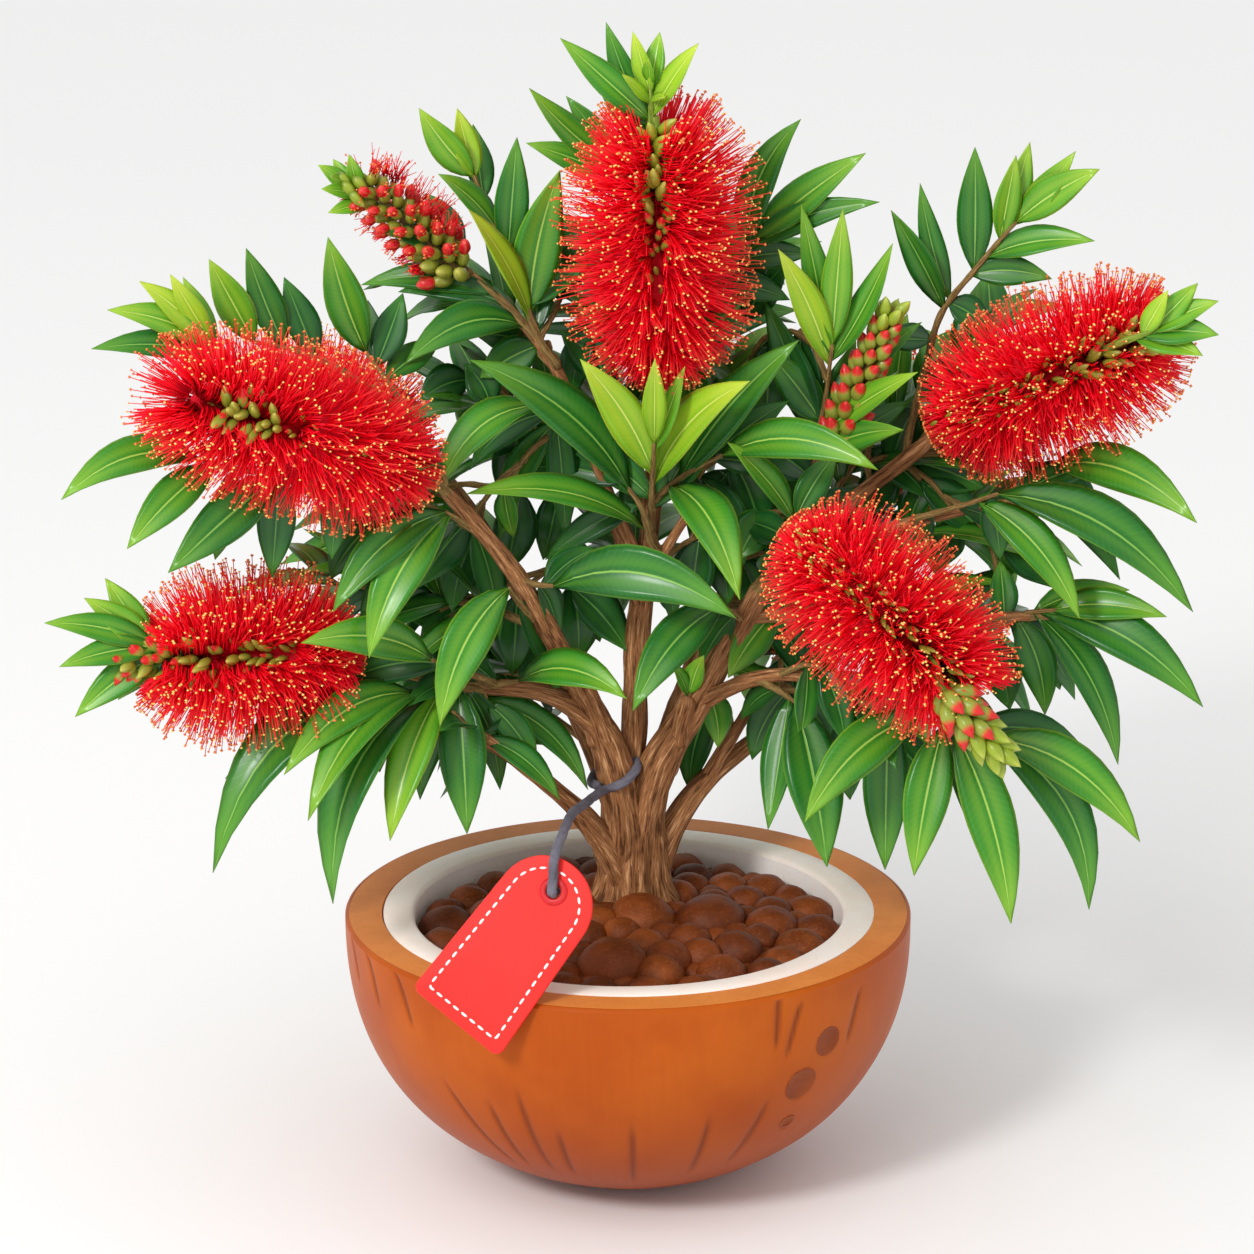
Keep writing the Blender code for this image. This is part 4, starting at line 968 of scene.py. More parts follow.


# leaves that fill the inside of the crown, nearly all in the dark tint: older leaves are darker, and the darkness
# here also stands in for the shade inside the crown
INNER = [
    (490, 406, 14, 464, 364, 18, 16, "dark"), (520, 420, 22, 503, 500, 26, 20, "dark"),
    (592, 490, 20, 540, 418, 16, 19, "deep"), (504, 488, 2, 514, 538, 0, 11, "mid"),
    (520, 490, 22, 506, 574, 24, 20, "dark"), (560, 486, 26, 543, 560, 26, 16, "dark"), (592, 554, 14, 544, 575, 8, 17, "deep"),
    (570, 586, 18, 628, 652, 14, 21, "dark"),
    (566, 586, 24, 600, 642, 26, 18, "dark"), (517, 594, 14, 512, 676, 10, 21, "dark"),
    (664, 570, 26, 674, 616, 28, 15, "dark"), (700, 476, 24, 744, 566, 20, 22, "dark"),
    (768, 512, 14, 738, 560, 8, 19, "deep"), (776, 612, 8, 728, 678, -2, 17, "mid"),
    (706, 688, 20, 718, 748, 16, 15, "mid"), (716, 700, 30, 690, 792, 30, 18, "dark"),
    (700, 535, 26, 690, 614, 26, 20, "dark"), (704, 540, 30, 728, 606, 30, 18, "dark"),
    (730, 458, 24, 760, 545, 22, 21, "dark"), (572, 582, 24, 578, 662, 24, 22, "dark"),
    (545, 350, 26, 474, 334, 24, 18, "dark"), (540, 345, 18, 480, 378, 14, 18, "deep"),
    (560, 300, 20, 520, 226, 20, 17, "dark"), (750, 300, 28, 786, 214, 28, 17, "dark"),
    (800, 330, 26, 812, 426, 24, 20, "dark"), (770, 340, 30, 766, 430, 30, 20, "dark"),
    (470, 520, -2, 418, 588, -20, 19, "dark"), (480, 530, 8, 452, 612, 2, 19, "dark"),
    (610, 380, 30, 560, 330, 34, 19, "dark"), (600, 420, 34, 640, 470, 34, 20, "dark"),
    (690, 420, 34, 660, 500, 34, 20, "dark"), (720, 400, 34, 780, 450, 32, 20, "dark"),
    (650, 400, 40, 600, 470, 40, 20, "dark"), (730, 470, 40, 690, 540, 40, 20, "dark"),
    (760, 460, 40, 800, 530, 38, 20, "dark"), (560, 440, 40, 500, 460, 40, 20, "dark"),
    (500, 410, 36, 448, 450, 36, 19, "dark"), (470, 380, 36, 420, 400, 30, 18, "dark"),
    (440, 610, 10, 372, 600, 0, 17, "dark"), (470, 640, 16, 400, 700, 8, 18, "dark"),
    (480, 600, 22, 420, 640, 20, 18, "dark"), (560, 640, 36, 520, 700, 36, 17, "dark"),
    (870, 450, 34, 930, 500, 30, 19, "dark"), (900, 470, 36, 860, 520, 34, 19, "dark"),
    (880, 420, 40, 940, 440, 38, 19, "dark"), (920, 480, 30, 990, 540, 24, 19, "dark"),
    (960, 520, 26, 940, 570, 26, 17, "dark"), (1000, 540, 22, 1060, 590, 18, 18, "dark"),
    (1000, 590, 16, 960, 640, 14, 18, "dark"), (1010, 620, 12, 1060, 690, 6, 20, "dark"),
    (1000, 640, 8, 1010, 710, 4, 19, "dark"), (940, 700, 8, 1000, 740, 4, 18, "dark"),
    (790, 690, 22, 752, 760, 22, 17, "dark"), (800, 700, 26, 840, 780, 22, 19, "dark"),
    (780, 660, 30, 770, 730, 32, 18, "dark"), (840, 720, 10, 850, 800, 4, 18, "dark"),
    (880, 730, 8, 940, 800, 2, 18, "dark"), (800, 560, 34, 770, 640, 34, 20, "dark"),
    (780, 540, 40, 740, 590, 40, 20, "dark"), (790, 580, 36, 830, 650, 36, 20, "dark"),
    (770, 600, 38, 800, 680, 38, 18, "dark"), (740, 560, 36, 760, 620, 34, 18, "dark"),
    (420, 500, 10, 380, 560, 4, 18, "dark"), (400, 480, 14, 340, 540, 8, 18, "dark"),
    (380, 520, -10, 330, 580, -16, 18, "dark"), (420, 560, -4, 360, 620, -8, 18, "dark"),
    (560, 300, 30, 590, 230, 30, 17, "dark"), (590, 330, 34, 572, 400, 34, 17, "dark"),
    (745, 320, 32, 790, 260, 30, 18, "dark"), (750, 360, 32, 800, 380, 30, 18, "dark"),
    (916, 462, 34, 984, 488, 30, 22, "dark"),
]
inner_rng = random.Random(23)
for u0, v0, y0, u1, v1, y1, w, tint in INNER:
    base, tip = np.array(sight(u0, v0, y0)), np.array(sight(u1, v1, y1))
    root = joined(base, 14.0)
    if root is not None:
        lead = unit(tip - base)
        twig([tuple(root), tuple((root + base) / 2 + np.array([0, 0, 2.0]) - lead * 1.5), tuple(base)],
             1.3, 0.8)
    face = (inner_rng.uniform(-0.4, 0.4), -0.85, inner_rng.uniform(0.2, 0.7))
    leaf(tint, base, tip, w * 0.80, inner_rng.uniform(0.03, 0.12), face, 0.2,
         inner_rng.uniform(-0.3, 0.3))


def whorl(path, count, reach, spread, width, tints, seed, start=0.25, droop=0.1, r0=1.6, r1=0.9,
          green=False, make_twig=True, keep=None):
    """leaves set spirally (137.5 degrees apart) on a shoot: they leave it
    at the spread angle and droop with their weight"""
    pr = random.Random(seed)
    pts = twig(path, r0, r1, green) if make_twig else smooth_path(path, 7)
    turn = pr.uniform(0, 6.28)
    for i in range(count):
        t = start + (1 - start) * (i + 0.5) / count
        base = on(pts, t)
        ahead = unit(on(pts, min(t + 0.06, 1.0)) - on(pts, max(t - 0.06, 0)))
        ref = np.array([0, 0, 1.0]) if abs(ahead[2]) < 0.9 else np.array([1.0, 0, 0])
        s1 = unit(np.cross(ahead, ref))
        s2 = np.cross(ahead, s1)
        turn += math.radians(137.5)
        radial = s1 * math.cos(turn) + s2 * math.sin(turn)
        open_ = math.radians(spread) * (1.0 - 0.45 * t) * pr.uniform(0.85, 1.15)
        d = ahead * math.cos(open_) + radial * math.sin(open_)
        length = reach * (1.0 - 0.30 * t) * pr.uniform(0.82, 1.12)
        tip = base + d * length + np.array([0, 0, -1.0]) * droop * length * pr.uniform(0.6, 1.4)
        if keep and not keep(base, tip):
            continue
        face = unit(np.array([0, 0, 0.9]) + radial * 0.35)
        tint = tints[min(int(pr.random() * len(tints)), len(tints) - 1)]
        leaf(tint, base, tip, width * pr.uniform(0.85, 1.1), 0.07 + 0.05 * pr.random(), face, 0.2,
             pr.uniform(-0.3, 0.3))
    return pts


# ------------------------------------------------------- back and sides
OLD = ["dark", "deep", "deep", "mid"]
FRESH = ["mid", "light", "light", "young"]
BACK_SHOOTS = [
    # (route, leaves, reach, spread, width, tints)
    ([(-34, 52, 186), (-62, 74, 196), (-92, 100, 200)], 15, 56, 62, 16, OLD),
    ([(-58, 70, 224), (-78, 96, 226), (-96, 118, 232)], 12, 52, 58, 15, OLD),
    ([(-24, 42, 168), (-50, 62, 164), (-74, 84, 158)], 12, 56, 62, 16, OLD),
    ([(-13, 31, 146), (-34, 58, 152), (-48, 92, 150)], 11, 54, 60, 16, OLD),
    ([(34, 56, 192), (62, 78, 206), (92, 104, 206)], 15, 56, 62, 16, OLD),
    ([(58, 66, 226), (84, 92, 224), (112, 112, 228)], 12, 52, 58, 15, OLD),
    ([(22, 44, 168), (44, 72, 166), (60, 104, 160)], 12, 56, 62, 16, OLD),
    ([(6, 34, 200), (2, 66, 206), (-4, 100, 200)], 14, 56, 62, 16, OLD),
    ([(9, 48, 228), (-8, 78, 246), (-22, 108, 256)], 14, 54, 60, 16, OLD),
    ([(11, 60, 258), (-4, 74, 284), (-22, 96, 300)], 13, 50, 55, 15, OLD),
    ([(10, 52, 240), (28, 80, 254), (44, 104, 262)], 12, 52, 58, 15, OLD),
    ([(8.4, 8.2, 272), (4, 34, 292), (-14, 62, 318)], 12, 48, 55, 14, OLD),
    ([(8.4, 8.4, 271), (24, 36, 292), (44, 60, 316)], 12, 48, 55, 14, OLD),
    ([(-10, 12, 250), (-34, 36, 262), (-62, 56, 270)], 13, 52, 60, 15, OLD),
    ([(-25, 11, 290), (-44, 32, 302), (-66, 48, 312)], 12, 46, 55, 14, OLD),
    ([(60, 9, 226), (82, 34, 252), (104, 54, 272)], 13, 50, 58, 15, OLD),
    ([(101, 23, 257), (118, 44, 276), (132, 64, 292)], 11, 46, 55, 14, OLD),
    ([(79, 6, 230), (112, 30, 226), (140, 54, 222)], 13, 50, 58, 15, OLD),
    ([(-50, -31, 243), (-82, -4, 250), (-112, 20, 258)], 13, 50, 58, 15, OLD),
    ([(-28, -12, 201), (-50, -1, 207), (-80, 16, 207), (-110, 34, 206)], 13, 52, 60, 15, OLD),
    ([(-34, -2, 177), (-66, 20, 170), (-96, 40, 160)], 11, 52, 60, 15, OLD),
    ([(72, 6, 203), (104, 30, 192), (130, 50, 182)], 12, 52, 60, 15, OLD),
    ([(38, 33, 141), (70, 48, 152), (98, 62, 150)], 11, 52, 60, 15, OLD),
    ([(12, 68, 275), (18, 88, 306), (16, 98, 338)], 10, 44, 45, 13, OLD + FRESH),
]
for i, (route, count, reach, spread, width, tints) in enumerate(BACK_SHOOTS):
    whorl(route, count, reach, spread, width, tints, 100 + i, droop=0.16)

# ------------------------------------------------------ threads and buds
EYE_NP = np.array(EYE)
calyx = Heap("calyx_cups", [MAT_CALYX], "OFBake")
buds = Heap("buds_green", [MAT_BUD], "OFBake")
red_buds = Heap("buds_red", [MAT_BUD_RED], "OFBake")
pale_buds = Heap("buds_pale", [MAT_PALE], "OFBake")
stems = green_twigs


def egg(heap, centre, axis, length, width, rows=6, sides=8, point=1.0, sharp=0.0):
    """closed egg with its own map from foot to tip; sharp draws the tip out"""
    axis = unit(axis)
    ref = np.array([0, 0, 1.0]) if abs(axis[2]) < 0.9 else np.array([1.0, 0, 0])
    s1 = unit(np.cross(axis, ref))
    s2 = np.cross(axis, s1)
    a = 2 * np.pi * np.arange(sides) / sides
    verts = [np.asarray(centre) - axis * length / 2]
    for k in range(1, rows):
        s = k / rows
        r = width / 2 * math.sin(math.pi * s ** point) ** (0.7 + sharp * max(0.0, 2 * s - 1))
        verts += list(np.asarray(centre) + axis * (s - 0.5) * length
                      + (s1 * np.cos(a)[:, None] + s2 * np.sin(a)[:, None]) * r)
    verts.append(np.asarray(centre) + axis * length / 2)
    n = len(verts) - 1
    quads, uvq, tris, uvt = [], [], [], []
    for k in range(rows - 2):
        for j in range(sides):
            i = (j + 1) % sides
            p = 1 + k * sides
            quads.append((p + j, p + i, p + i + sides, p + j + sides))
            u0, u1, v0, v1 = j / sides, (j + 1) / sides, (k + 1) / rows, (k + 2) / rows
            uvq.append([(u0, v0), (u1, v0), (u1, v1), (u0, v1)])
    for j in range(sides):
        i = (j + 1) % sides
        tris.append((i + 1, j + 1, 0))
        u0, u1 = j / sides, (j + 1) / sides
        uvt.append([(u1, 1 / rows), (u0, 1 / rows), ((u0 + u1) / 2, 0.0)])
        p = 1 + (rows - 2) * sides
        tris.append((p + j, p + i, n))
        uvt.append([(u0, 1 - 1 / rows), (u1, 1 - 1 / rows), ((u0 + u1) / 2, 1.0)])
    start = heap.n
    heap.add(np.array(verts), quads, np.array(uvq) * 0.98 + 0.01)
    heap.add(np.zeros((0, 3)), np.array(tris), np.array(uvt) * 0.98 + 0.01)
    heap.f[-1] = np.array(tris) + start


def threads_into(heap, base, mid, end, radius, column, rings):
    """many stamens at once: three-sided tapered threads from base by mid to
    end; column picks the tint of each"""
    n = len(base)
    s = np.linspace(0, 1, rings)
    pts = (((1 - s) ** 2)[None, :, None] * base[:, None, :]
           + (2 * s * (1 - s))[None, :, None] * mid[:, None, :]
           + (s ** 2)[None, :, None] * end[:, None, :])
    tan = unit(end - base)
    ref = np.where(np.abs(tan[:, 2:3]) < 0.9, np.array([[0, 0, 1.0]]), np.array([[1.0, 0, 0]]))
    s1 = unit(np.cross(tan, ref))
    s2 = np.cross(tan, s1)
    ang = 2 * np.pi * np.arange(3) / 3
    prof = 1.0 - 0.45 * s
    off = (s1[:, None, None, :] * np.cos(ang)[None, None, :, None]
           + s2[:, None, None, :] * np.sin(ang)[None, None, :, None])
    verts = pts[:, :, None, :] + off * (radius * prof)[None, :, None, None]
    per = rings * 3
    quads = grid_faces(rings, 3)
    idx = (np.arange(n) * per)[:, None, None]
    uvq = np.zeros((n, len(quads), 4, 2))
    k = 0
    for r in range(rings - 1):
        for j in range(3):
            x0, x1 = 0.02 + 0.07 * j, 0.02 + 0.07 * (j + 1)
            y0, y1 = 0.01 + 0.98 * r / (rings - 1), 0.01 + 0.98 * (r + 1) / (rings - 1)
            for c, (x, y) in enumerate(((x0, y0), (x1, y0), (x1, y1), (x0, y1))):
                uvq[:, k, c, 0] = x + column * 0.25
                uvq[:, k, c, 1] = y
            k += 1
    start = heap.n
    heap.add(verts.reshape(-1, 3), (quads[None] + idx).reshape(-1, 4), uvq.reshape(-1, 4, 2))
    caps = np.array([(2, 1, 0), (per - 3, per - 2, per - 1)])
    allc = (caps[None] + idx).reshape(-1, 3)
    uvc = np.zeros((n, 2, 3, 2))
    for c, (x, y) in enumerate(((0.03, 0.02), (0.09, 0.02), (0.06, 0.08))):
        uvc[:, 0, c] = np.stack([x + column * 0.25, np.full(n, y)], axis=1)
        uvc[:, 1, c] = np.stack([x + column * 0.25, np.full(n, 1.0 - y)], axis=1)
    heap.add(np.zeros((0, 3)), allc, uvc.reshape(-1, 3, 2))
    heap.f[-1] = allc + start


def anthers_into(heap, at, tan, size):
    """eight-sided grains set across the tips of threads"""
    n = len(at)
    if not n:
        return
    ref = np.where(np.abs(tan[:, 2:3]) < 0.9, np.array([[0, 0, 1.0]]), np.array([[1.0, 0, 0]]))
    s1 = unit(np.cross(tan, ref))
    s2 = np.cross(tan, s1)
    reach = np.array([[1, 0, 0], [-1, 0, 0], [0, 0.8, 0], [0, -0.8, 0], [0, 0, 0.7], [0, 0, -0.7]])
    axes = np.stack([s1, s2, tan], axis=1)
    av = at[:, None, :] + np.einsum("kc,ncd->nkd", reach, axes) * size[:, None, None]
    tri = np.array([(0, 2, 4), (2, 1, 4), (1, 3, 4), (3, 0, 4), (2, 0, 5), (1, 2, 5), (3, 1, 5),
                    (0, 3, 5)])
    heap.add(av.reshape(-1, 3), (tri[None] + (np.arange(n) * 6)[:, None, None]).reshape(-1, 3), None)


# how far the threads beside the parting lean on toward the tip, side by side,
# and how much fuller the first side stands at the tip
LOBES = {"bloom_top": (0.12, 0.03, 0.30), "bloom_lower_left": (0.05, 0.05, 0.0),
         "bloom_upper_right": (0.0, 0.02, 0.0)}


def bloom(name, spec, seed):
    foot, tip, radius, shown, count = spec
    lobes = LOBES.get(name, (0.02, 0.02, 0.0))
    part = shown is not None
    r = np.random.default_rng(seed)
    axis = tip - foot
    span = np.linalg.norm(axis)
    d = axis / span
    centre = (foot + tip) / 2
    see = unit(EYE_NP - centre) if part else np.array([0, 1.0, 0.3])
    front = unit(see - d * see.dot(d))
    side = np.cross(d, front)
    flowers = 66
    per = count // flowers
    heap = Heap(name + "_stamens", [MAT_BRISTLE], "OFBake")
    gold = Heap(name + "_anthers_gold", [MAT_ANTHER])
    orange = Heap(name + "_anthers_orange", [MAT_ANTHER_RED])

    def envelope(e):
        """radius of the spike's outline at share e of its length"""
        low = np.clip(1 - np.clip(1 - e / 0.5, 0, 1) ** 3.2, 0, 1) ** 0.5
        high = 1 - 0.44 * np.clip((e - 0.62) / 0.38, 0, 1.06) ** 2.2
        return radius * np.where(e < 0.5, low, high)

    bases, mids, ends, outer, cols = [], [], [], [], []
    for i in range(flowers):
        s = 0.09 + 0.79 * (i + 0.5) / flowers
        turn = i * math.radians(137.5)
        a = turn + r.normal(0, 0.36, per)
        wrap = (a + math.pi) % (2 * math.pi) - math.pi
        if part:
            bare = shown[2] if shown[0] - 0.03 <= s <= shown[1] + 0.03 else 0.25
            bare *= 0.35 + 0.65 * min(max((s - 0.32) / 0.28, 0.0), 1.0)
            width = 0.27 * bare + 0.04
            wrap = wrap + np.sign(wrap + 1e-6) * width * np.exp(-(wrap / (width + 0.25)) ** 2)
            # threads bend out of the parting and back over it further out
            over = np.sign(wrap) * 0.20 * np.exp(-(wrap / 0.7) ** 2)
        else:
            over = np.zeros(per)
        rad = front[None] * np.cos(wrap)[:, None] + side[None] * np.sin(wrap)[:, None]
        rad2 = front[None] * np.cos(wrap - over)[:, None] + side[None] * np.sin(wrap - over)[:, None]
        lean = 0.01 + 0.14 * (2 * s - 1) + 0.06 * np.sign(2 * s - 1) * abs(2 * s - 1) ** 3
        out = r.random(per) < 0.42
        if part:                        # a lobe stands up on each side of the parting
            grow = max((s - 0.5) / 0.4, 0.0)
            lobe = np.sin(wrap)
            lean = lean + grow * (np.where(lobe > 0, lobes[0], lobes[1]) * lobe ** 2 - 0.05 * (1 - lobe ** 2))
        e = np.maximum(s + lean + r.normal(0, 1.0, per) * np.where(out, 0.042, 0.028), 0.004)
        e = np.where(e > 0.94, 0.94 + 0.10 * np.tanh((e - 0.94) / 0.10), e)
        share = np.where(out, r.normal(1.0, 0.055, per), r.uniform(0.60, 0.90, per))
        rr = np.maximum(envelope(e) * share, 3.2)
        if part:
            rr = rr * (1 + lobes[2] * grow * np.clip(np.sin(wrap), 0, 1) ** 2)
        base = foot + d * (s * span) + rad * 2.4
        end = foot + d[None] * (e * span)[:, None] + rad2 * rr[:, None]
        mid = base + rad * (rr * 0.52)[:, None] + d[None] * ((e - s) * span * 0.30)[:, None]
        mid = mid + r.normal(0, 1.0, (per, 3)) * np.where(out, 0.65, 0.3)[:, None]
        bases.append(base); mids.append(mid); ends.append(end); outer.append(out)
        cols.append(np.where(out, 2 + (r.random(per) < 0.4), (r.random(per) < 0.45).astype(int)))
    base, mid, end = (np.concatenate(x) for x in (bases, mids, ends))
    outer, column = np.concatenate(outer), np.concatenate(cols)
    inner = ~outer
    threads_into(heap, base[inner], mid[inner], end[inner], 0.37, column[inner], 3)
    threads_into(heap, base[outer], mid[outer], end[outer], 0.29, column[outer], 4)
    at, tan = end[outer], unit(end[outer] - mid[outer])
    # painted light: gold and orange grains are both real, but those that face the front are mostly given the paler
    # gold and those turned away the deeper orange
    facing = tan @ unit(EYE_NP - centre)
    golden = r.random(len(at)) < np.clip(0.15 + 1.1 * facing, 0.08, 0.92)
    size = np.where(golden, 0.56, 0.78) * r.uniform(0.85, 1.15, len(at))
    anthers_into(gold, at[golden], tan[golden], size[golden])
    anthers_into(orange, at[~golden], tan[~golden], size[~golden])
    if part:
        n = 520
        s = r.uniform(0.10, min(shown[1], 0.92), n)
        a = r.normal(0, 0.42, n)
        rad = front[None] * np.cos(a)[:, None] + side[None] * np.sin(a)[:, None]
        base = foot + d * (s * span)[:, None] + rad * 2.4
        # they spring from the pods and swing out to both sides
        reach = radius * r.uniform(0.34, 0.58, n) * (1 - 0.35 * np.clip((s - 0.7) / 0.3, 0, 1))
        swing = side[None] * (np.sign(a) * r.uniform(0.3, 1.0, n))[:, None]
        end = base + unit(rad + swing * 0.9 + d[None] * (0.35 * (2 * s - 1))[:, None]) * reach[:, None]
        mid = base + rad * (reach * 0.5)[:, None]
        threads_into(heap, base, mid, end, 0.33, r.integers(0, 2, n), 3)
    # packed heart of the spike, hidden under the threads; its deep red, seen in the gaps, is painted shade
    shade_core = Heap(name + "_core", [MAT_SHADE_CORE])
    rows, sides = 30, 32
    verts = []
    for k in range(rows):
        s = k / (rows - 1)
        ang = 2 * np.pi * np.arange(sides) / sides
        rr = 0.47 * envelope(np.array([0.08 + 0.80 * s]))[0] * math.sin(math.pi * (0.05 + 0.90 * s)) ** 0.4
        rr *= 1 - 0.66 * max((s - 0.55) / 0.45, 0.0) ** 1.3
        rough = 1 + 0.13 * r.random(sides) * (1 if k % 2 else -1)
        if part:
            off = (ang + math.pi) % (2 * math.pi) - math.pi
            here = 0.08 + 0.84 * s
            deep = 0.74 if shown[0] - 0.04 <= here <= shown[1] + 0.04 else 0.30
            deep *= 0.35 + 0.65 * min(max((here - 0.32) / 0.28, 0.0), 1.0)
            rough = rough * (1 - deep * np.exp(-(off / 0.5) ** 2))
        verts.append(foot + d * (span * (0.07 + 0.78 * s))
                     + (front * np.cos(ang)[:, None] + side * np.sin(ang)[:, None])
                     * (rr * rough)[:, None])
    flat = np.concatenate(verts + [[foot + d * span * 0.055], [foot + d * span * 0.862]])
    quads = grid_faces(rows, sides)
    caps = []
    for j in range(sides):
        k = (j + 1) % sides
        caps.append((k, j, rows * sides))
        caps.append(((rows - 1) * sides + j, (rows - 1) * sides + k, rows * sides + 1))
    shade_core.add(flat, quads)
    shade_core.add(np.zeros((0, 3)), np.array(caps))
    shade_core.f[-1] = np.array(caps)
    last = 0.97 if not part or shown[1] > 0.9 else shown[1]
    tube_into(stems, np.array([foot + d * 6, foot + d * span * last * 0.5, foot + d * span * last]),
              np.array([2.4, 2.1, 1.5]), 10, 0, True)
    for row in BEADS.get(name, ()):
        beads(foot, d, span, front, side, r, *row)
    return heap, gold, orange, shade_core


def beads(foot, d, span, front, side, r, s0, s1, count, size0, size1, lift, wide, splay, red, slim):
    """cups and buds that show in the parting, from share s0 to s1"""
    for i in range(count):
        f = (i + 0.5) / count
        s = s0 + (s1 - s0) * f
        turn = wide * math.sin(i * 2.4) + r.normal(0, 0.10)
        outw = front * math.cos(turn) + side * math.sin(turn)
        p = foot + d * (span * s) + outw * (lift * r.uniform(0.8, 1.15))
        k = (size0 + (size1 - size0) * f) * r.uniform(0.85, 1.15)
        aim = outw * splay * r.uniform(0.7, 1.3) + d + side * (splay * math.sin(i * 2.4) * 0.7)
        tipped = r.random() < red
        egg(buds if tipped else (pale_buds if size0 > 5.6 else calyx), p, aim, k * 1.85, k * slim, 7, 8, 0.92, 0.35)


# rows of (from share, to share, count, sizes, lift, spread, splay, red share, slimness)
BEADS = {
    "bloom_top": [(0.24, 0.66, 26, 2.8, 4.0, 10.5, 0.55, 0.7, 0.50, 0.66),
                  (0.62, 0.80, 14, 4.8, 5.5, 9.5, 0.65, 0.7, 0.35, 0.80),
                  (0.78, 0.95, 15, 6.2, 5.6, 5.6, 1.0, 0.70, 0.0, 0.72)],
    "bloom_upper_left": [(0.30, 0.58, 14, 2.4, 3.2, 12.5, 0.45, 0.7, 0.4, 0.60),
                         (0.61, 0.80, 21, 5.0, 5.4, 12.5, 0.50, 1.15, 0.30, 0.66)],
    "bloom_lower_left": [(0.34, 0.58, 16, 3.0, 4.2, 11.0, 0.42, 0.7, 0.4, 0.62),
                         (0.56, 0.84, 18, 4.6, 4.8, 10.0, 0.9, 0.8, 0.35, 0.74),
                         (0.80, 0.96, 12, 5.4, 4.8, 7.0, 1.1, 0.85, 0.75, 0.80),
                         (0.94, 1.13, 18, 5.2, 4.0, 5.2, 1.5, 0.85, 0.70, 0.84)],
    "bloom_upper_right": [(0.05, 0.66, 36, 2.6, 3.6, 12.0, 0.38, 0.7, 0.35, 0.62),
                          (0.64, 0.86, 15, 4.8, 5.2, 13.0, 0.5, 0.7, 0.15, 0.66),
                          (0.84, 1.0, 9, 5.4, 5.4, 15.0, 0.45, 0.7, 0.35, 0.66)],
    "bloom_lower_right": [(0.08, 0.90, 50, 2.8, 3.6, 12.5, 0.36, 0.7, 0.35, 0.60)],
}

pieces = []
for i, (name, spec) in enumerate(BLOOMS.items()):
    pieces.append((name, bloom(name, spec, 300 + i)))


def spike_frame(foot, tip):
    d = unit(tip - foot)
    front = unit(EYE_NP - foot)
    front = unit(front - d * front.dot(d))
    return d, front, np.cross(d, front), np.linalg.norm(tip - foot)


# closed spike: plump buds with red tips, packed in spiral rows
foot, tip = np.array(sight(836, 440, 13)), np.array(sight(896, 300, 8))
d, front, side, span = spike_frame(foot, tip)
twig([tuple(foot), tuple(foot + d * span * 0.5), tuple(foot + d * span * 0.94)], 2.2, 1.2)
r = random.Random(61)
count = 54
for i in range(count):
    s = (i + 0.5) / count
    turn = i * math.radians(137.5)
    out = front * math.cos(turn) + side * math.sin(turn)
    k = (1 - 0.22 * s) * r.uniform(0.93, 1.07)
    axis = unit(out * (1.0 - 0.62 * s) + d)
    p = foot + d * (span * s * 0.97) + out * (6.8 - 3.6 * s) * (0.45 + 0.55 * min(s / 0.12, 1))
    egg(buds if s < 0.86 else pale_buds, p, axis, 10.6 * k, 5.6 * k, 9, 10, 0.86, 0.25)

# half-open spike: red buds in cups, with the first short threads out
foot, tip = np.array(sight(458, 272, 16)), np.array(sight(362, 180, 11))
d, front, side, span = spike_frame(foot, tip)
twig([tuple(foot), tuple(foot + d * span * 0.5), tuple(foot + d * span)], 2.1, 1.1)
r = random.Random(62)
count = 52
starts, outs = [], []
for i in range(count):
    s = (i + 0.5) / count
    turn = i * math.radians(137.5)
    out = front * math.cos(turn) + side * math.sin(turn)
    k = (1 - 0.25 * s) * r.uniform(0.92, 1.08)
    axis = unit(out * 1.0 + d * 0.75)
    p = foot + d * (span * s) + out * (6.2 - 1.8 * s)
    egg(calyx, p, axis, 8.8 * k, 5.0 * k, 7, 9, 0.84)
    if i % 5:
        egg(red_buds, p + axis * 4.9 * k, axis, 7.8 * k, 4.7 * k, 7, 9, 0.95)
    starts.append(p + axis * 4.0 * k)
    outs.append(unit(out + d * 0.35))
r = np.random.default_rng(77)
n = 820
pick = (8 + r.random(n) ** 1.1 * (count - 8)).astype(int)
base = np.array(starts)[pick] + r.normal(0, 0.9, (n, 3))
up_side = np.array(outs) @ unit(np.array([0.55, 0.2, 0.8]))     # fuller on its upper side
go = unit(np.array(outs)[pick] + r.normal(0, 0.34, (n, 3)))
facing = np.clip(np.array(outs) @ front, 0, 1)                   # shorter where they face front
length = (5.8 + 2.6 * up_side[pick]) * (1 - 0.6 * facing[pick]) * r.uniform(0.55, 1.1, n) + 1.2
end = base + go * length[:, None]
mid = (base + end) / 2 + r.normal(0, 0.5, (n, 3))
ho = Heap("bloom_half_open_stamens", [MAT_BRISTLE], "OFBake")
hg = Heap("bloom_half_open_anthers", [MAT_ANTHER_RED])
threads_into(ho, base, mid, end, 0.22, 2 + r.integers(0, 2, n), 3)
anthers_into(hg, end[::4], unit(end - mid)[::4], np.full(len(end[::4]), 0.62))

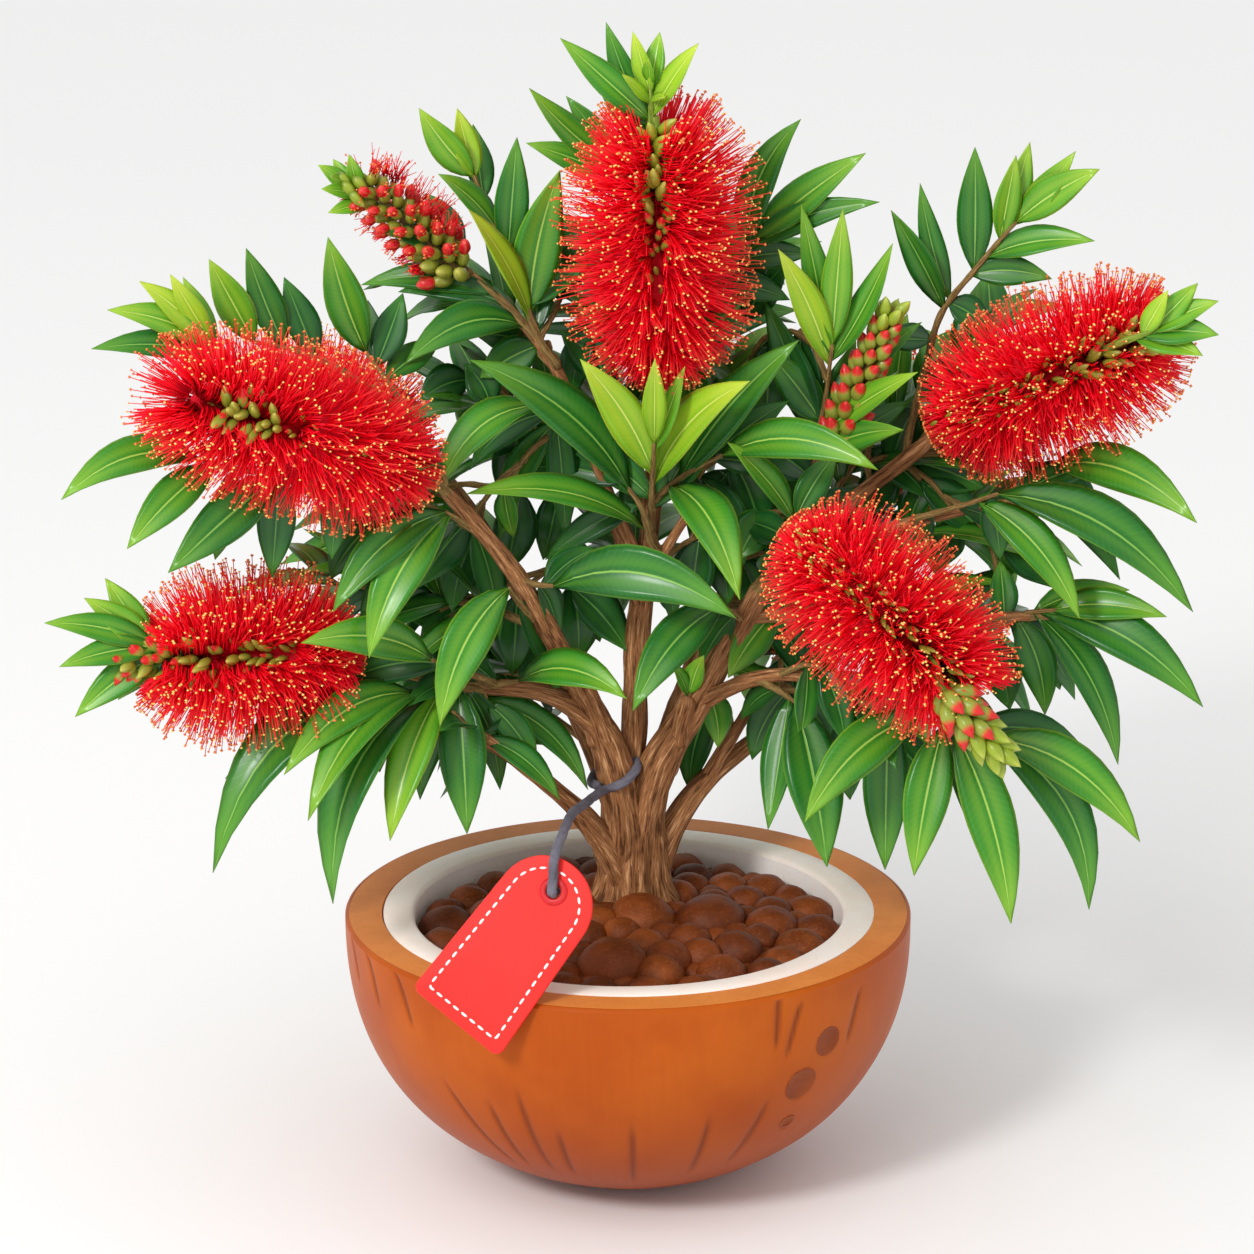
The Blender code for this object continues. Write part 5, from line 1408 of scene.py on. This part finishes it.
# bud cluster at the tip of the lower right bloom
foot, tip = BLOOMS["bloom_lower_right"][:2]
foot = np.array(sight(944, 692, -84))
tip = np.array(sight(1008, 763, -84))
d, front, side, span = spike_frame(foot, tip)
twig([tuple(foot), tuple(foot + d * span * 0.5), tuple(tip)], 1.8, 1.0, True)
count = 28
for i in range(count):
    f = (i + 0.5) / count
    turn = i * math.radians(137.5)
    out = front * math.cos(turn) + side * math.sin(turn)
    k = 1 - 0.12 * f
    axis = unit(out * (0.95 - 0.5 * f) + d)
    p = foot + d * (span * (0.08 + 0.90 * f)) + out * 5.8 * (1 - 0.5 * f * f)
    egg(buds if i < 14 else pale_buds, p, axis, 12.5 * k, 5.7 * k, 9, 10, 0.88, 0.45)

# small leaves at the tip of the half-open spike
path = twig([tuple(sight(372, 206, 11)), tuple(sight(352, 190, 10)), tuple(sight(345, 184, 9))], 1.2,
            0.9, True)
for t, u, v, y, w in ((0.55, 318, 165, 8, 6.4), (0.35, 321, 189, 4, 5.8), (0.10, 328, 213, 2, 6.0),
                      (0.30, 349, 154, 9, 6.4), (0.75, 330, 176, 0, 5.4), (0.60, 333, 159, 14, 5.4)):
    leaf("light", on(path, t), np.array(sight(u, v, y)), w, 0.03, (0.1, -0.8, 0.5))
for u, v, y in ((349, 189, 5), (357, 199, 4), (360, 184, 6), (344, 180, 7)):
    at = np.array(sight(u, v, y))
    egg(pale_buds, at, d, 8.0, 3.8, 7, 8, 0.9, 0.3)

# ------------------------------------------------------------------- pot
RIM_Z, RIM_R, FLESH_R, MOUTH_R = 95.0, 100.6, 87.3, 76.3


def outer_wall(z):
    u = min(max((RIM_Z - z) / (RIM_Z + 2.6), 0.0), 1.0)
    return RIM_R * (1 - u ** 2.4) ** 0.5


def turned_into(heap, profile, sides, shape=None, mat=0, grain=True, close=(True, True)):
    """surface turned about Z from (r, z, share down) points"""
    rows = len(profile)
    a = 2 * np.pi * np.arange(sides) / sides
    verts = []
    for i, (rr, z, t) in enumerate(profile):
        push = shape(a, t, z) if shape else 0.0
        rad = rr + push
        verts.append(np.stack([rad * np.cos(a), rad * np.sin(a), np.full(sides, z)], axis=1))
    flat = np.concatenate(verts)
    quads = grid_faces(rows, sides)
    uvq = []
    for k in range(rows - 1):
        for j in range(sides):
            u0, u1 = j / sides, (j + 1) / sides
            t0, t1 = profile[k][2], profile[k + 1][2]
            uvq.append([(u0, t0), (u1, t0), (u1, t1), (u0, t1)])
    start = heap.n
    heap.add(flat, quads, np.array(uvq) if grain else None, mat)
    return start, rows


def on_bowl(u, v):
    """where the sight line (u, v) first meets the bowl"""
    for k in range(0, 1400):
        y = -106.0 + 0.1 * k
        p = sight(u, v, y)
        if p.z < RIM_Z and math.hypot(p.x, p.y) <= outer_wall(p.z):
            return p
    return None


def share_down(z):
    """the turned profile's parameter at height z"""
    q = min(max(z / (RIM_Z - 1.3), 0.0), 1.0) ** (1 / 1.15)
    return 0.012 + 0.988 * math.acos(q) / (math.pi / 2)


# grooves in the husk: (angle, share down) at both ends, depth
GROOVES = []
for u0, v0, u1, v1 in ((441, 1074, 521, 1166), (486, 1096, 531, 1166), (515, 1085, 557, 1173),
                       (557, 1128, 575, 1174), (632, 1122, 633, 1182), (711, 1113, 687, 1174),
                       (771, 1095, 724, 1164), (372, 948, 381, 1010), (394, 966, 414, 1030),
                       (779, 996, 776, 1052), (803, 999, 786, 1060), (862, 984, 846, 1044),
                       (356, 930, 360, 985)):
    p0, p1 = on_bowl(u0, v0), on_bowl(u1, v1)
    if p0 and p1:
        GROOVES.append((math.atan2(p0.y, p0.x), share_down(p0.z), math.atan2(p1.y, p1.x),
                        share_down(p1.z), 1.0))
gr = random.Random(5)
for k in range(15):
    at = math.radians(8 + 164 * (k + gr.uniform(0.2, 0.8)) / 15)
    t0 = gr.uniform(0.10, 0.55)
    t1 = min(t0 + gr.uniform(0.25, 0.45), 0.93)
    GROOVES.append((at, t0, at + gr.uniform(-0.08, 0.08), t1, gr.uniform(0.6, 1.0)))
EYES = [(on_bowl(828, 1041), 4.7), (on_bowl(801, 1084), 5.6), (on_bowl(787, 1122), 2.3)]


def groove_depth(a, t, z):
    out = np.zeros_like(a)
    for a0, t0, a1, t1, depth in GROOVES:
        q = (t - t0) / (t1 - t0)
        if q <= 0 or q >= 1:
            continue
        at = a0 + (a1 - a0) * q
        off = (a - at + math.pi) % (2 * math.pi) - math.pi
        rr = max(outer_wall(z), 20.0)
        wide = (0.50 + 0.0075 * rr) * (0.6 + 0.4 * math.sin(math.pi * q)) / rr
        grow = min(q / 0.25, (1 - q) / 0.12, 1.0)
        out = np.maximum(out, depth * grow * np.exp(-(off / wide) ** 2))
    return out


# groove depths as the husk is turned, kept for the painted shade in its grooves
SHAPE_LOG = []


def husk_shape(a, t, z):
    carve = groove_depth(a, t, z)
    SHAPE_LOG.append(carve)
    out = -0.55 * carve + 0.16 * np.sin(5 * a + 3 * t) + 0.10 * np.sin(11 * a - 7 * t)
    rr = outer_wall(z)
    for p, size in EYES:
        gap = np.sqrt((rr * np.cos(a) - p.x) ** 2 + (rr * np.sin(a) - p.y) ** 2 + (z - p.z) ** 2)
        out = out - 1.5 * np.clip((size + 0.3 - gap) / 0.8, 0, 1)
    return out


pot = Heap("coconut_husk", [MAT_HUSK, MAT_RIM, MAT_GROOVE, MAT_EYE], "grain")
profile = [(RIM_R - 1.4, RIM_Z, 0.0), (RIM_R - 0.45, RIM_Z - 0.35, 0.004),
           (RIM_R - 0.05, RIM_Z - 1.3, 0.012)]
for k in range(1, 80):
    t = 0.012 + 0.988 * k / 79
    z = (RIM_Z - 1.3) * math.cos((t - 0.012) / 0.988 * math.pi / 2) ** 1.15
    profile.append((outer_wall(z), max(z, 0.0), t))
sides = 520
start, rows = turned_into(pot, profile, sides, husk_shape)
foot_ring = (rows - 1) * sides
pot.add(np.array([[0, 0, 0.0]]), np.zeros((0, 3), int), np.zeros((0, 3, 2)))
centre_i = pot.n - 1
tri = [(foot_ring + (j + 1) % sides, foot_ring + j, centre_i) for j in range(sides)]
pot.add(np.zeros((0, 3)), np.array(tri), np.array([[(0, 0.9), (0.01, 0.9), (0.005, 1.0)]] * sides))
pot.f[-1] = np.array(tri)
husk_points = pot.n
# the eyes: shallow dished discs let into the husk
for p, size in EYES:
    nrm = Vector((p.x, p.y, 0)).normalized()
    slope = (outer_wall(p.z - 1.0) - outer_wall(p.z + 1.0)) / 2.0
    nrm = (nrm + Vector((0, 0, 1)) * slope).normalized()
    e1 = nrm.cross(Vector((0, 0, 1))).normalized()
    e2 = nrm.cross(e1)
    section = [(0.0, -0.62), (size * 0.5, -0.58), (size * 0.82, -0.42), (size - 0.15, -0.05),
               (size + 0.3, 0.14), (size + 0.9, 0.10), (size + 1.2, -0.35), (size + 1.0, -1.2)]
    verts, quads = [], []
    for rr, lift in section:
        for j in range(48):
            w = 2 * math.pi * j / 48
            q = p + e1 * (rr * math.cos(w)) + e2 * (rr * math.sin(w))
            flat_r = math.hypot(q.x, q.y)
            k = (outer_wall(min(max(q.z, 0.5), RIM_Z - 0.5)) + lift) / max(flat_r, 1e-6)
            verts.append((q.x * k, q.y * k, q.z))
    n_sec = len(section)
    for k in range(n_sec - 1):
        for j in range(48):
            i = (j + 1) % 48
            quads.append((k * 48 + j, k * 48 + i, (k + 1) * 48 + i, (k + 1) * 48 + j))
    quads = np.array(quads)
    verts = np.array(verts)
    f0 = quads[48 * 2]
    nn0 = np.cross(verts[f0[1]] - verts[f0[0]], verts[f0[3]] - verts[f0[0]])
    if nn0.dot(np.array(nrm)) < 0:
        quads = quads[:, ::-1]
    pot.add(verts, quads, np.full((len(quads), 4, 2), 0.4), 3)
sides = 240
# cut rim and the hidden inner side of the husk
rim_profile = [(RIM_R - 1.4, RIM_Z, 0.0), (RIM_R - 5.0, RIM_Z + 0.05, 0.2), (FLESH_R + 3, RIM_Z, 0.7),
               (FLESH_R + 0.25, RIM_Z - 0.1, 1.0), (FLESH_R - 0.2, RIM_Z - 3.0, 1.1),
               (FLESH_R - 2.0, RIM_Z - 14.0, 1.2)]


def rim_shape(a, t, z):
    return 0.10 * np.sin(17 * a + 5 * t) + 0.06 * np.sin(41 * a)


rstart, rrows = turned_into(pot, rim_profile, sides, None, 1)
# faces of the husk whose normals point outward: profile runs outer -> in

# flesh: cut ring with rounded inner lip, then the shaded inner wall
flesh = Heap("coconut_flesh", [MAT_FLESH, MAT_WALL], "grain")


def inner_wall(z, mouth, floor):
    u = min(max((RIM_Z - z) / (RIM_Z - floor), 0.0), 1.0)
    return mouth * (1 - u ** 2.3) ** 0.5


def lip(a, t, z):
    return 0.22 * np.sin(3 * a + 1) + 0.16 * np.sin(7 * a + 2.2)


turned_into(flesh, [(FLESH_R - 0.1, RIM_Z - 6.0, 0.0), (FLESH_R - 0.05, RIM_Z - 0.3, 0.05),
                    (FLESH_R - 0.5, RIM_Z + 0.05, 0.1), (MOUTH_R + 6, RIM_Z + 0.12, 0.5),
                    (MOUTH_R + 1.6, RIM_Z, 0.85), (MOUTH_R + 0.4, RIM_Z - 0.5, 0.93),
                    (MOUTH_R - 0.1, RIM_Z - 1.6, 1.0)], sides, lip, 0)
wall = [(MOUTH_R - 0.1, RIM_Z - 1.6, 0.0)]
for k in range(1, 10):
    z = RIM_Z - 1.6 - k * 3.2
    wall.append((inner_wall(z, MOUTH_R, 22.0) - 0.1, z, k / 9))
turned_into(flesh, wall, sides, lip, 1)

# --------------------------------------------------------------- clay balls
ball_heap = Heap("clay_balls", MAT_BALLS)


def ball_into(centre, size, seed):
    r = random.Random(seed)
    rows, cols = 14, 22
    off = Vector((r.uniform(-9, 9), r.uniform(-9, 9), r.uniform(-9, 9)))
    sx, sy, sz = (size * r.uniform(0.98, 1.10), size * r.uniform(0.96, 1.08), size * r.uniform(0.80, 0.92))
    turn = r.uniform(0, 3.14)
    verts = []

    def at(theta, phi):
        n = Vector((math.sin(theta) * math.cos(phi), math.sin(theta) * math.sin(phi), math.cos(theta)))
        bump_ = 1 + 0.07 * noise.noise(n * 1.5 + off) + 0.012 * noise.noise(n * 5.0 + off)
        x, y, z = n.x * sx * bump_, n.y * sy * bump_, n.z * sz * bump_
        return (centre[0] + x * math.cos(turn) - y * math.sin(turn),
                centre[1] + x * math.sin(turn) + y * math.cos(turn), centre[2] + z)

    verts.append(at(0, 0))
    for k in range(1, rows):
        for j in range(cols):
            verts.append(at(math.pi * k / rows, 2 * math.pi * j / cols))
    verts.append(at(math.pi, 0))
    quads, tris = [], []
    for k in range(rows - 2):
        for j in range(cols):
            i = (j + 1) % cols
            p = 1 + k * cols
            quads.append((p + j, p + j + cols, p + i + cols, p + i))
    n = len(verts) - 1
    for j in range(cols):
        i = (j + 1) % cols
        tris.append((0, 1 + j, 1 + i))
        p = 1 + (rows - 2) * cols
        tris.append((p + j, n, p + i))
    mat = r.choice([0, 0, 1, 2])
    start = ball_heap.n
    ball_heap.add(np.array(verts), np.array(quads), None, mat)
    ball_heap.add(np.zeros((0, 3)), np.array(tris), None, mat)
    ball_heap.f[-1] = np.array(tris) + start


def mound(x, y):
    """height of the bed's surface"""
    q = min(math.hypot(x, y) / 74.5, 1.0)
    return 87.0 + 6.4 * (1 - q ** 1.7)


def on_mound(u, v):
    for k in range(0, 1600):
        y = -80.0 + 0.1 * k
        p = sight(u, v, y)
        if p.z <= mound(p.x, p.y) + 2.0:
            return p
    return None


br = random.Random(12)
placed_balls = []
# the ones that are seen in front of the stem, then the rest at random
for u, v, wide in ((642, 908, 67), (710, 910, 74), (614, 955, 72), (771, 917, 58), (668, 950, 50),
                   (690, 878, 42), (736, 940, 52), (727, 880, 44), (765, 882, 46), (808, 903, 48),
                   (700, 945, 46), (660, 964, 50), (722, 964, 50), (596, 912, 48), (800, 938, 52),
                   (598, 880, 44), (447, 917, 56), (470, 893, 44), (497, 878, 42), (530, 870, 40)):
    p = on_mound(u, v)
    if p:
        size = wide * SCALE / 2
        placed_balls.append((p.x, p.y, mound(p.x, p.y) - size * 0.30, size))
tries = 0
while len(placed_balls) < 110 and tries < 60000:
    tries += 1
    size = br.choice([7.6, 8.2, 9.0, 10.0, 8.6]) * br.uniform(0.92, 1.08)
    q = math.sqrt(br.random()) * (76.0 - size)
    a = br.uniform(0, 6.283)
    x, y = q * math.cos(a), q * math.sin(a)
    if math.hypot(x - TRUNK_FOOT[0], y - TRUNK_FOOT[1]) < 11.0 + size * 0.55:
        continue
    z = mound(x, y) - size * 0.36
    if all((x - b[0]) ** 2 + (y - b[1]) ** 2 > ((size + b[3]) * 0.84) ** 2 for b in placed_balls):
        placed_balls.append((x, y, z, size))
# smaller ones wedge into what is still open, and a lower layer fills below
for step, shrink in ((0, 0.74), (1, 0.56)):
    tries = 0
    while tries < 9000:
        tries += 1
        size = br.uniform(5.4, 7.4)
        q = math.sqrt(br.random()) * (76.0 - size)
        a = br.uniform(0, 6.283)
        x, y = q * math.cos(a), q * math.sin(a)
        if math.hypot(x - TRUNK_FOOT[0], y - TRUNK_FOOT[1]) < 9.5 + size * 0.4:
            continue
        z = mound(x, y) - size * (0.55 + 0.45 * step)
        if all((x - b[0]) ** 2 + (y - b[1]) ** 2 > ((size + b[3]) * shrink) ** 2 for b in placed_balls):
            placed_balls.append((x, y, z, size))
for i, (x, y, z, size) in enumerate(placed_balls):
    ball_into((x, y, z), size, 900 + i)
bed_rows = [(75.4, 82.0, 0), (60, 84.0, 0), (40, 86.0, 0), (20, 88.0, 0), (3, 89.0, 0)]
under = Heap("bed_filling", [MAT_BALLS[1]])
a = 2 * np.pi * np.arange(72) / 72
vs = []
for rr, z, _ in [(70.0, 62.0, 0)] + bed_rows:
    vs.append(np.stack([rr * np.cos(a), rr * np.sin(a),
                        z + 0.9 * np.sin(7 * a + rr) + 0.6 * np.sin(13 * a + 2 * rr)], axis=1))
flat = np.concatenate(vs + [[[0, 0, 89.4]], [[0, 0, 60.0]]])
under.add(flat, grid_faces(6, 72))
nn = 6 * 72
tri = []
for j in range(72):
    k = (j + 1) % 72
    tri += [(nn - 72 + j, nn - 72 + k, nn), (k, j, nn + 1)]
under.add(np.zeros((0, 3)), np.array(tri))
under.f[-1] = np.array(tri)

# --------------------------------------------------------------------- tag
TAG_W, TAG_L, TAG_T = 38.0, 67.2, 1.6
TAG_TOP_R, TAG_HOLE_R, TAG_HOLE_Y = 17.2, 3.2, 6.3
TAG_SHIFT = (-7.0, 34.0)
TAG_YAW, TAG_LEAN, TAG_ROLL = math.radians(14.0), math.radians(20.0), math.radians(-33.0)
STRING_D = 3.4
t_out = Vector((-math.sin(TAG_YAW), -math.cos(TAG_YAW), 0))
t_right = Vector((math.cos(TAG_YAW), -math.sin(TAG_YAW), 0))
TAG_N = t_out * math.cos(TAG_LEAN) + Vector((0, 0, 1)) * math.sin(TAG_LEAN)
TAG_UP = TAG_N.cross(t_right).normalized()
TAG_X = t_right * math.cos(TAG_ROLL) + TAG_UP * math.sin(TAG_ROLL)
TAG_Y = -t_right * math.sin(TAG_ROLL) + TAG_UP * math.cos(TAG_ROLL)
TAG_O = (t_out * (RIM_R + 0.9) + Vector((0, 0, RIM_Z)) + t_right * TAG_SHIFT[0]
         + TAG_UP * TAG_SHIFT[1])


def tag_point(x, y, out=0.0):
    return np.array(TAG_O + TAG_X * x + TAG_Y * y + TAG_N * out)


def tag_outline(inset, per=1):
    w, l, c = TAG_W / 2 - inset, TAG_L - TAG_TOP_R - inset, max(3.0 - inset * 0.4, 0.8)
    tr = TAG_TOP_R - inset
    pts = []
    for cx, cy, a0 in ((-w + c, -l + c, math.pi), (w - c, -l + c, 1.5 * math.pi)):
        for k in range(9):
            q = a0 + k * math.pi / 16
            pts.append((cx + c * math.cos(q), cy + c * math.sin(q)))
    for k in range(6):
        s = (k + 1) / 7
        pts.append((w + (tr - w) * s, -l + c + (l - c) * s))
    for k in range(37):
        q = math.pi * k / 36
        pts.append((tr * math.cos(q), tr * math.sin(q)))
    for k in range(6):
        s = 1 - (k + 1) / 7
        pts.append((-w - (tr - w) * s, -l + c + (l - c) * s))
    return pts


card = Heap("tag_card", [MAT_CARD])
rings = []
loops = [(0.0, 0.35), (0.0, TAG_T - 0.45), (0.16, TAG_T - 0.12), (0.5, TAG_T), (1.0, TAG_T)]
n_out = len(tag_outline(0))
rows_v = []
for inset, z in loops[:-1]:
    rows_v.append([tag_point(x, y, z) for x, y in tag_outline(inset)])
hole = []
for x, y in tag_outline(0.5):
    q = math.atan2(y - TAG_HOLE_Y, x)
    hole.append((TAG_HOLE_R * math.cos(q), TAG_HOLE_Y + TAG_HOLE_R * math.sin(q)))
mids = [((x0 + x1) / 2, (y0 + y1) / 2) for (x0, y0), (x1, y1) in zip(tag_outline(0.5), hole)]
rows_v.append([tag_point(x, y, TAG_T) for x, y in mids])
rows_v.append([tag_point(x, y, TAG_T) for x, y in hole])
rows_v.append([tag_point(x, y, 0.0) for x, y in hole])
rows_v.append([tag_point(x, y, 0.0) for x, y in tag_outline(0.4)])
rows_v.append(rows_v[0])
k_rows = len(rows_v) - 1
flat = np.concatenate([np.array(v) for v in rows_v[:k_rows]])
q = []
for k in range(k_rows):
    for j in range(n_out):
        i = (j + 1) % n_out
        q.append((k * n_out + j, k * n_out + i, ((k + 1) % k_rows) * n_out + i,
                  ((k + 1) % k_rows) * n_out + j))
card.add(flat, np.array(q))

# eyelet: a raised ring on both faces and through the hole
eyelet = Heap("tag_eyelet", [MAT_EYELET])
sec = [(TAG_HOLE_R - 0.7, -0.5), (TAG_HOLE_R - 0.7, TAG_T + 0.5), (TAG_HOLE_R - 0.2, TAG_T + 1.0),
       (TAG_HOLE_R + 1.0, TAG_T + 0.9), (TAG_HOLE_R + 1.7, TAG_T + 0.3), (TAG_HOLE_R + 1.7, TAG_T + 0.02),
       (TAG_HOLE_R + 0.1, TAG_T - 0.1), (TAG_HOLE_R + 0.1, 0.1), (TAG_HOLE_R + 1.5, -0.02),
       (TAG_HOLE_R + 1.3, -0.5), (TAG_HOLE_R, -0.8)]
verts = []
for rr, z in sec:
    for j in range(40):
        w = 2 * math.pi * j / 40
        verts.append(tag_point(rr * math.cos(w), TAG_HOLE_Y + rr * math.sin(w), z))
q = []
for k in range(len(sec)):
    for j in range(40):
        i = (j + 1) % 40
        k2 = (k + 1) % len(sec)
        q.append((k * 40 + j, k * 40 + i, k2 * 40 + i, k2 * 40 + j))
eyelet.add(np.array(verts), np.array(q))

# stitching: short raised threads along a line inside the edge
thread = Heap("tag_stitches", [MAT_THREAD])
line = tag_outline(4.3)
line = line + line[:1]
lengths = [0.0]
for (x0, y0), (x1, y1) in zip(line, line[1:]):
    lengths.append(lengths[-1] + math.hypot(x1 - x0, y1 - y0))


def along_line(s):
    s = s % lengths[-1]
    for i in range(len(lengths) - 1):
        if lengths[i + 1] >= s:
            f = (s - lengths[i]) / max(lengths[i + 1] - lengths[i], 1e-9)
            return (line[i][0] + (line[i + 1][0] - line[i][0]) * f,
                    line[i][1] + (line[i + 1][1] - line[i][1]) * f)
    return line[-1]


stitches = 44
for k in range(stitches):
    s0 = lengths[-1] * (k + 0.5) / stitches
    half = lengths[-1] / stitches * 0.30
    pts = []
    for f in np.linspace(-1, 1, 6):
        x, y = along_line(s0 + f * half)
        pts.append(tag_point(x, y, TAG_T + 0.02 + 0.22 * (1 - f * f)))
    tube_into(thread, np.array(pts), np.array([0.30, 0.42, 0.46, 0.46, 0.42, 0.30]), 8)

# string: three strands twisted together, along the same route as built
h = TAG_O + TAG_Y * TAG_HOLE_Y + TAG_N * (TAG_T + STRING_D * 0.62)
loop_c, loop_t = Vector((-4.4, 9.3, 141.5)), Vector((-0.42, -0.15, 0.89)).normalized()
loop_r = 6.6 + STRING_D / 2 + 0.5
loop_s = Vector((0, -1, 0)) - loop_t * loop_t.dot(Vector((0, -1, 0)))
loop_s.normalize()
loop_n = loop_t.cross(loop_s)
inside = TAG_O + TAG_Y * TAG_HOLE_Y - TAG_N * 2.0
route = [tuple(inside), tuple(h + TAG_UP * -0.4), tuple(h + TAG_UP * 5 + TAG_N * 0.5),
         tuple(h + TAG_UP * 12.5 + TAG_N * 0.3), tuple(h + TAG_UP * 17.5 - TAG_N * 5.5),
         (-19.5, -54, 148.5), (-16.5, -28, 142.5)]
for k in range(9):
    turn = math.radians(-38 + 44 * k)
    route.append(tuple(loop_c + (loop_s * math.cos(turn) + loop_n * math.sin(turn)) * loop_r
                       + loop_t * (k * 0.25)))
string = Heap("tag_string", [MAT_STRING])
path = smooth_path(route, 16)
t_, s_, n_ = carried_frames(path)
along = np.concatenate([[0], np.cumsum(np.linalg.norm(np.diff(path, axis=0), axis=1))])
for strand in range(3):
    w = along / 4.6 + strand * 2 * math.pi / 3
    off = (s_ * np.cos(w)[:, None] + n_ * np.sin(w)[:, None]) * (STRING_D * 0.14)
    tube_into(string, path + off, np.full(len(path), STRING_D * 0.38), 12)

# -------------------------------------------------------------- pieces
hand_in(trunk_heap, ["trunk"])
hand_in(wood, list(LIMBS))
hand_in(twigs)
hand_in(green_twigs)
MASS_NODES = [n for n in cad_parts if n.startswith("leaves_")]
young_nodes = [n for n in MASS_NODES if "tuft" in n or "tip" in n]
old_nodes = [n for n in MASS_NODES if n not in young_nodes]
for k, heap in leaf_heaps.items():
    hand_in(heap,
            young_nodes if k in ("young", "light") else old_nodes)
for name, (heap, gold, orange, shade_core) in pieces:
    hand_in(heap, [name])
    hand_in(gold)
    hand_in(orange)
    hand_in(shade_core)
hand_in(ho, ["bloom_half_open"])
hand_in(hg)
hand_in(calyx, ["bloom_in_bud"])
hand_in(buds)
hand_in(red_buds, ["bloom_in_bud"])
hand_in(pale_buds)
husk = hand_in(pot, ["pot_husk"], angle=50)
# groove depth of each point, for the painted shade along the husk's grooves
carved = np.zeros(len(husk.data.vertices), np.float32)
logged = np.concatenate(SHAPE_LOG)
carved[:len(logged)] = logged
layer = husk.data.attributes.new("carve", "FLOAT", "POINT")
layer.data.foreach_set("value", carved)
hand_in(flesh, ["pot_flesh"], angle=50)
hand_in(ball_heap, ["clay_ball_bed"])
hand_in(under, ["clay_ball_bed"])
hand_in(card, ["tag"], angle=40)
hand_in(eyelet, angle=50)
hand_in(thread)
hand_in(string, ["tag_string"])

total = sum(h.triangles() for h in [wood, trunk_heap, twigs, green_twigs, calyx, buds, red_buds, pot, flesh,
                                    ball_heap, card, string, thread, *leaf_heaps.values()])
total += sum(h.triangles() for _, hs in pieces for h in hs)
print("TRIANGLES", total, {k: h.triangles() for k, h in leaf_heaps.items()}, "balls", len(placed_balls))

# ------------------------------------------------------- floor, light, view
bpy.ops.mesh.primitive_plane_add(size=30, location=(0, 0, -0.0002))
floor = bpy.context.object
floor.name = "floor"
fm = bpy.data.materials.new("floor_pale")
fm.use_nodes = True
fb = fm.node_tree.nodes["Principled BSDF"]
fb.inputs["Base Color"].default_value = (0.92, 0.92, 0.92, 1)
fb.inputs["Roughness"].default_value = 0.9
fb.inputs["Specular IOR Level"].default_value = 0.1
floor.data.materials.append(fm)

world = bpy.data.worlds.new("studio")
bpy.context.scene.world = world
world.use_nodes = True
bg = world.node_tree.nodes["Background"]
bg.inputs["Color"].default_value = (1.0, 1.0, 1.0, 1)
bg.inputs["Strength"].default_value = 0.79


def area(name, loc, target, size, power, colour=(1, 1, 1)):
    data = bpy.data.lights.new(name, "AREA")
    data.shape = "DISK"
    data.size = size
    data.energy = power
    data.color = colour
    ob = bpy.data.objects.new(name, data)
    ob.location = loc
    ob.rotation_euler = (Vector(target) - Vector(loc)).to_track_quat("-Z", "Y").to_euler()
    bpy.context.scene.collection.objects.link(ob)
    return ob


sun_data = bpy.data.lights.new("key", "SUN")
sun_data.energy = 0.50
sun_data.angle = math.radians(38)
sun_data.color = (1.0, 0.985, 0.96)
sun = bpy.data.objects.new("key", sun_data)
sun.rotation_euler = (-Vector((-0.42, -0.78, 0.95))).to_track_quat("-Z", "Y").to_euler()
bpy.context.scene.collection.objects.link(sun)
area("soft_box", (-0.95, -1.55, 1.35), (0, 0, 0.22), 0.45, 22, (1.0, 0.99, 0.97))

cam_data = bpy.data.cameras.new("camera")
cam_data.sensor_width = 36.0
cam_data.lens = 36.0 * DIST / (SIDE * SCALE)
cam_data.clip_start, cam_data.clip_end = 0.05, 60.0
cam = bpy.data.objects.new("camera", cam_data)
cam.location = EYE * MM
cam.rotation_euler = (math.pi / 2 - ELEV, 0, 0)
bpy.context.scene.collection.objects.link(cam)
bpy.context.scene.camera = cam
bpy.context.scene.view_settings.view_transform = "Standard"
bpy.context.scene.view_settings.look = "None"
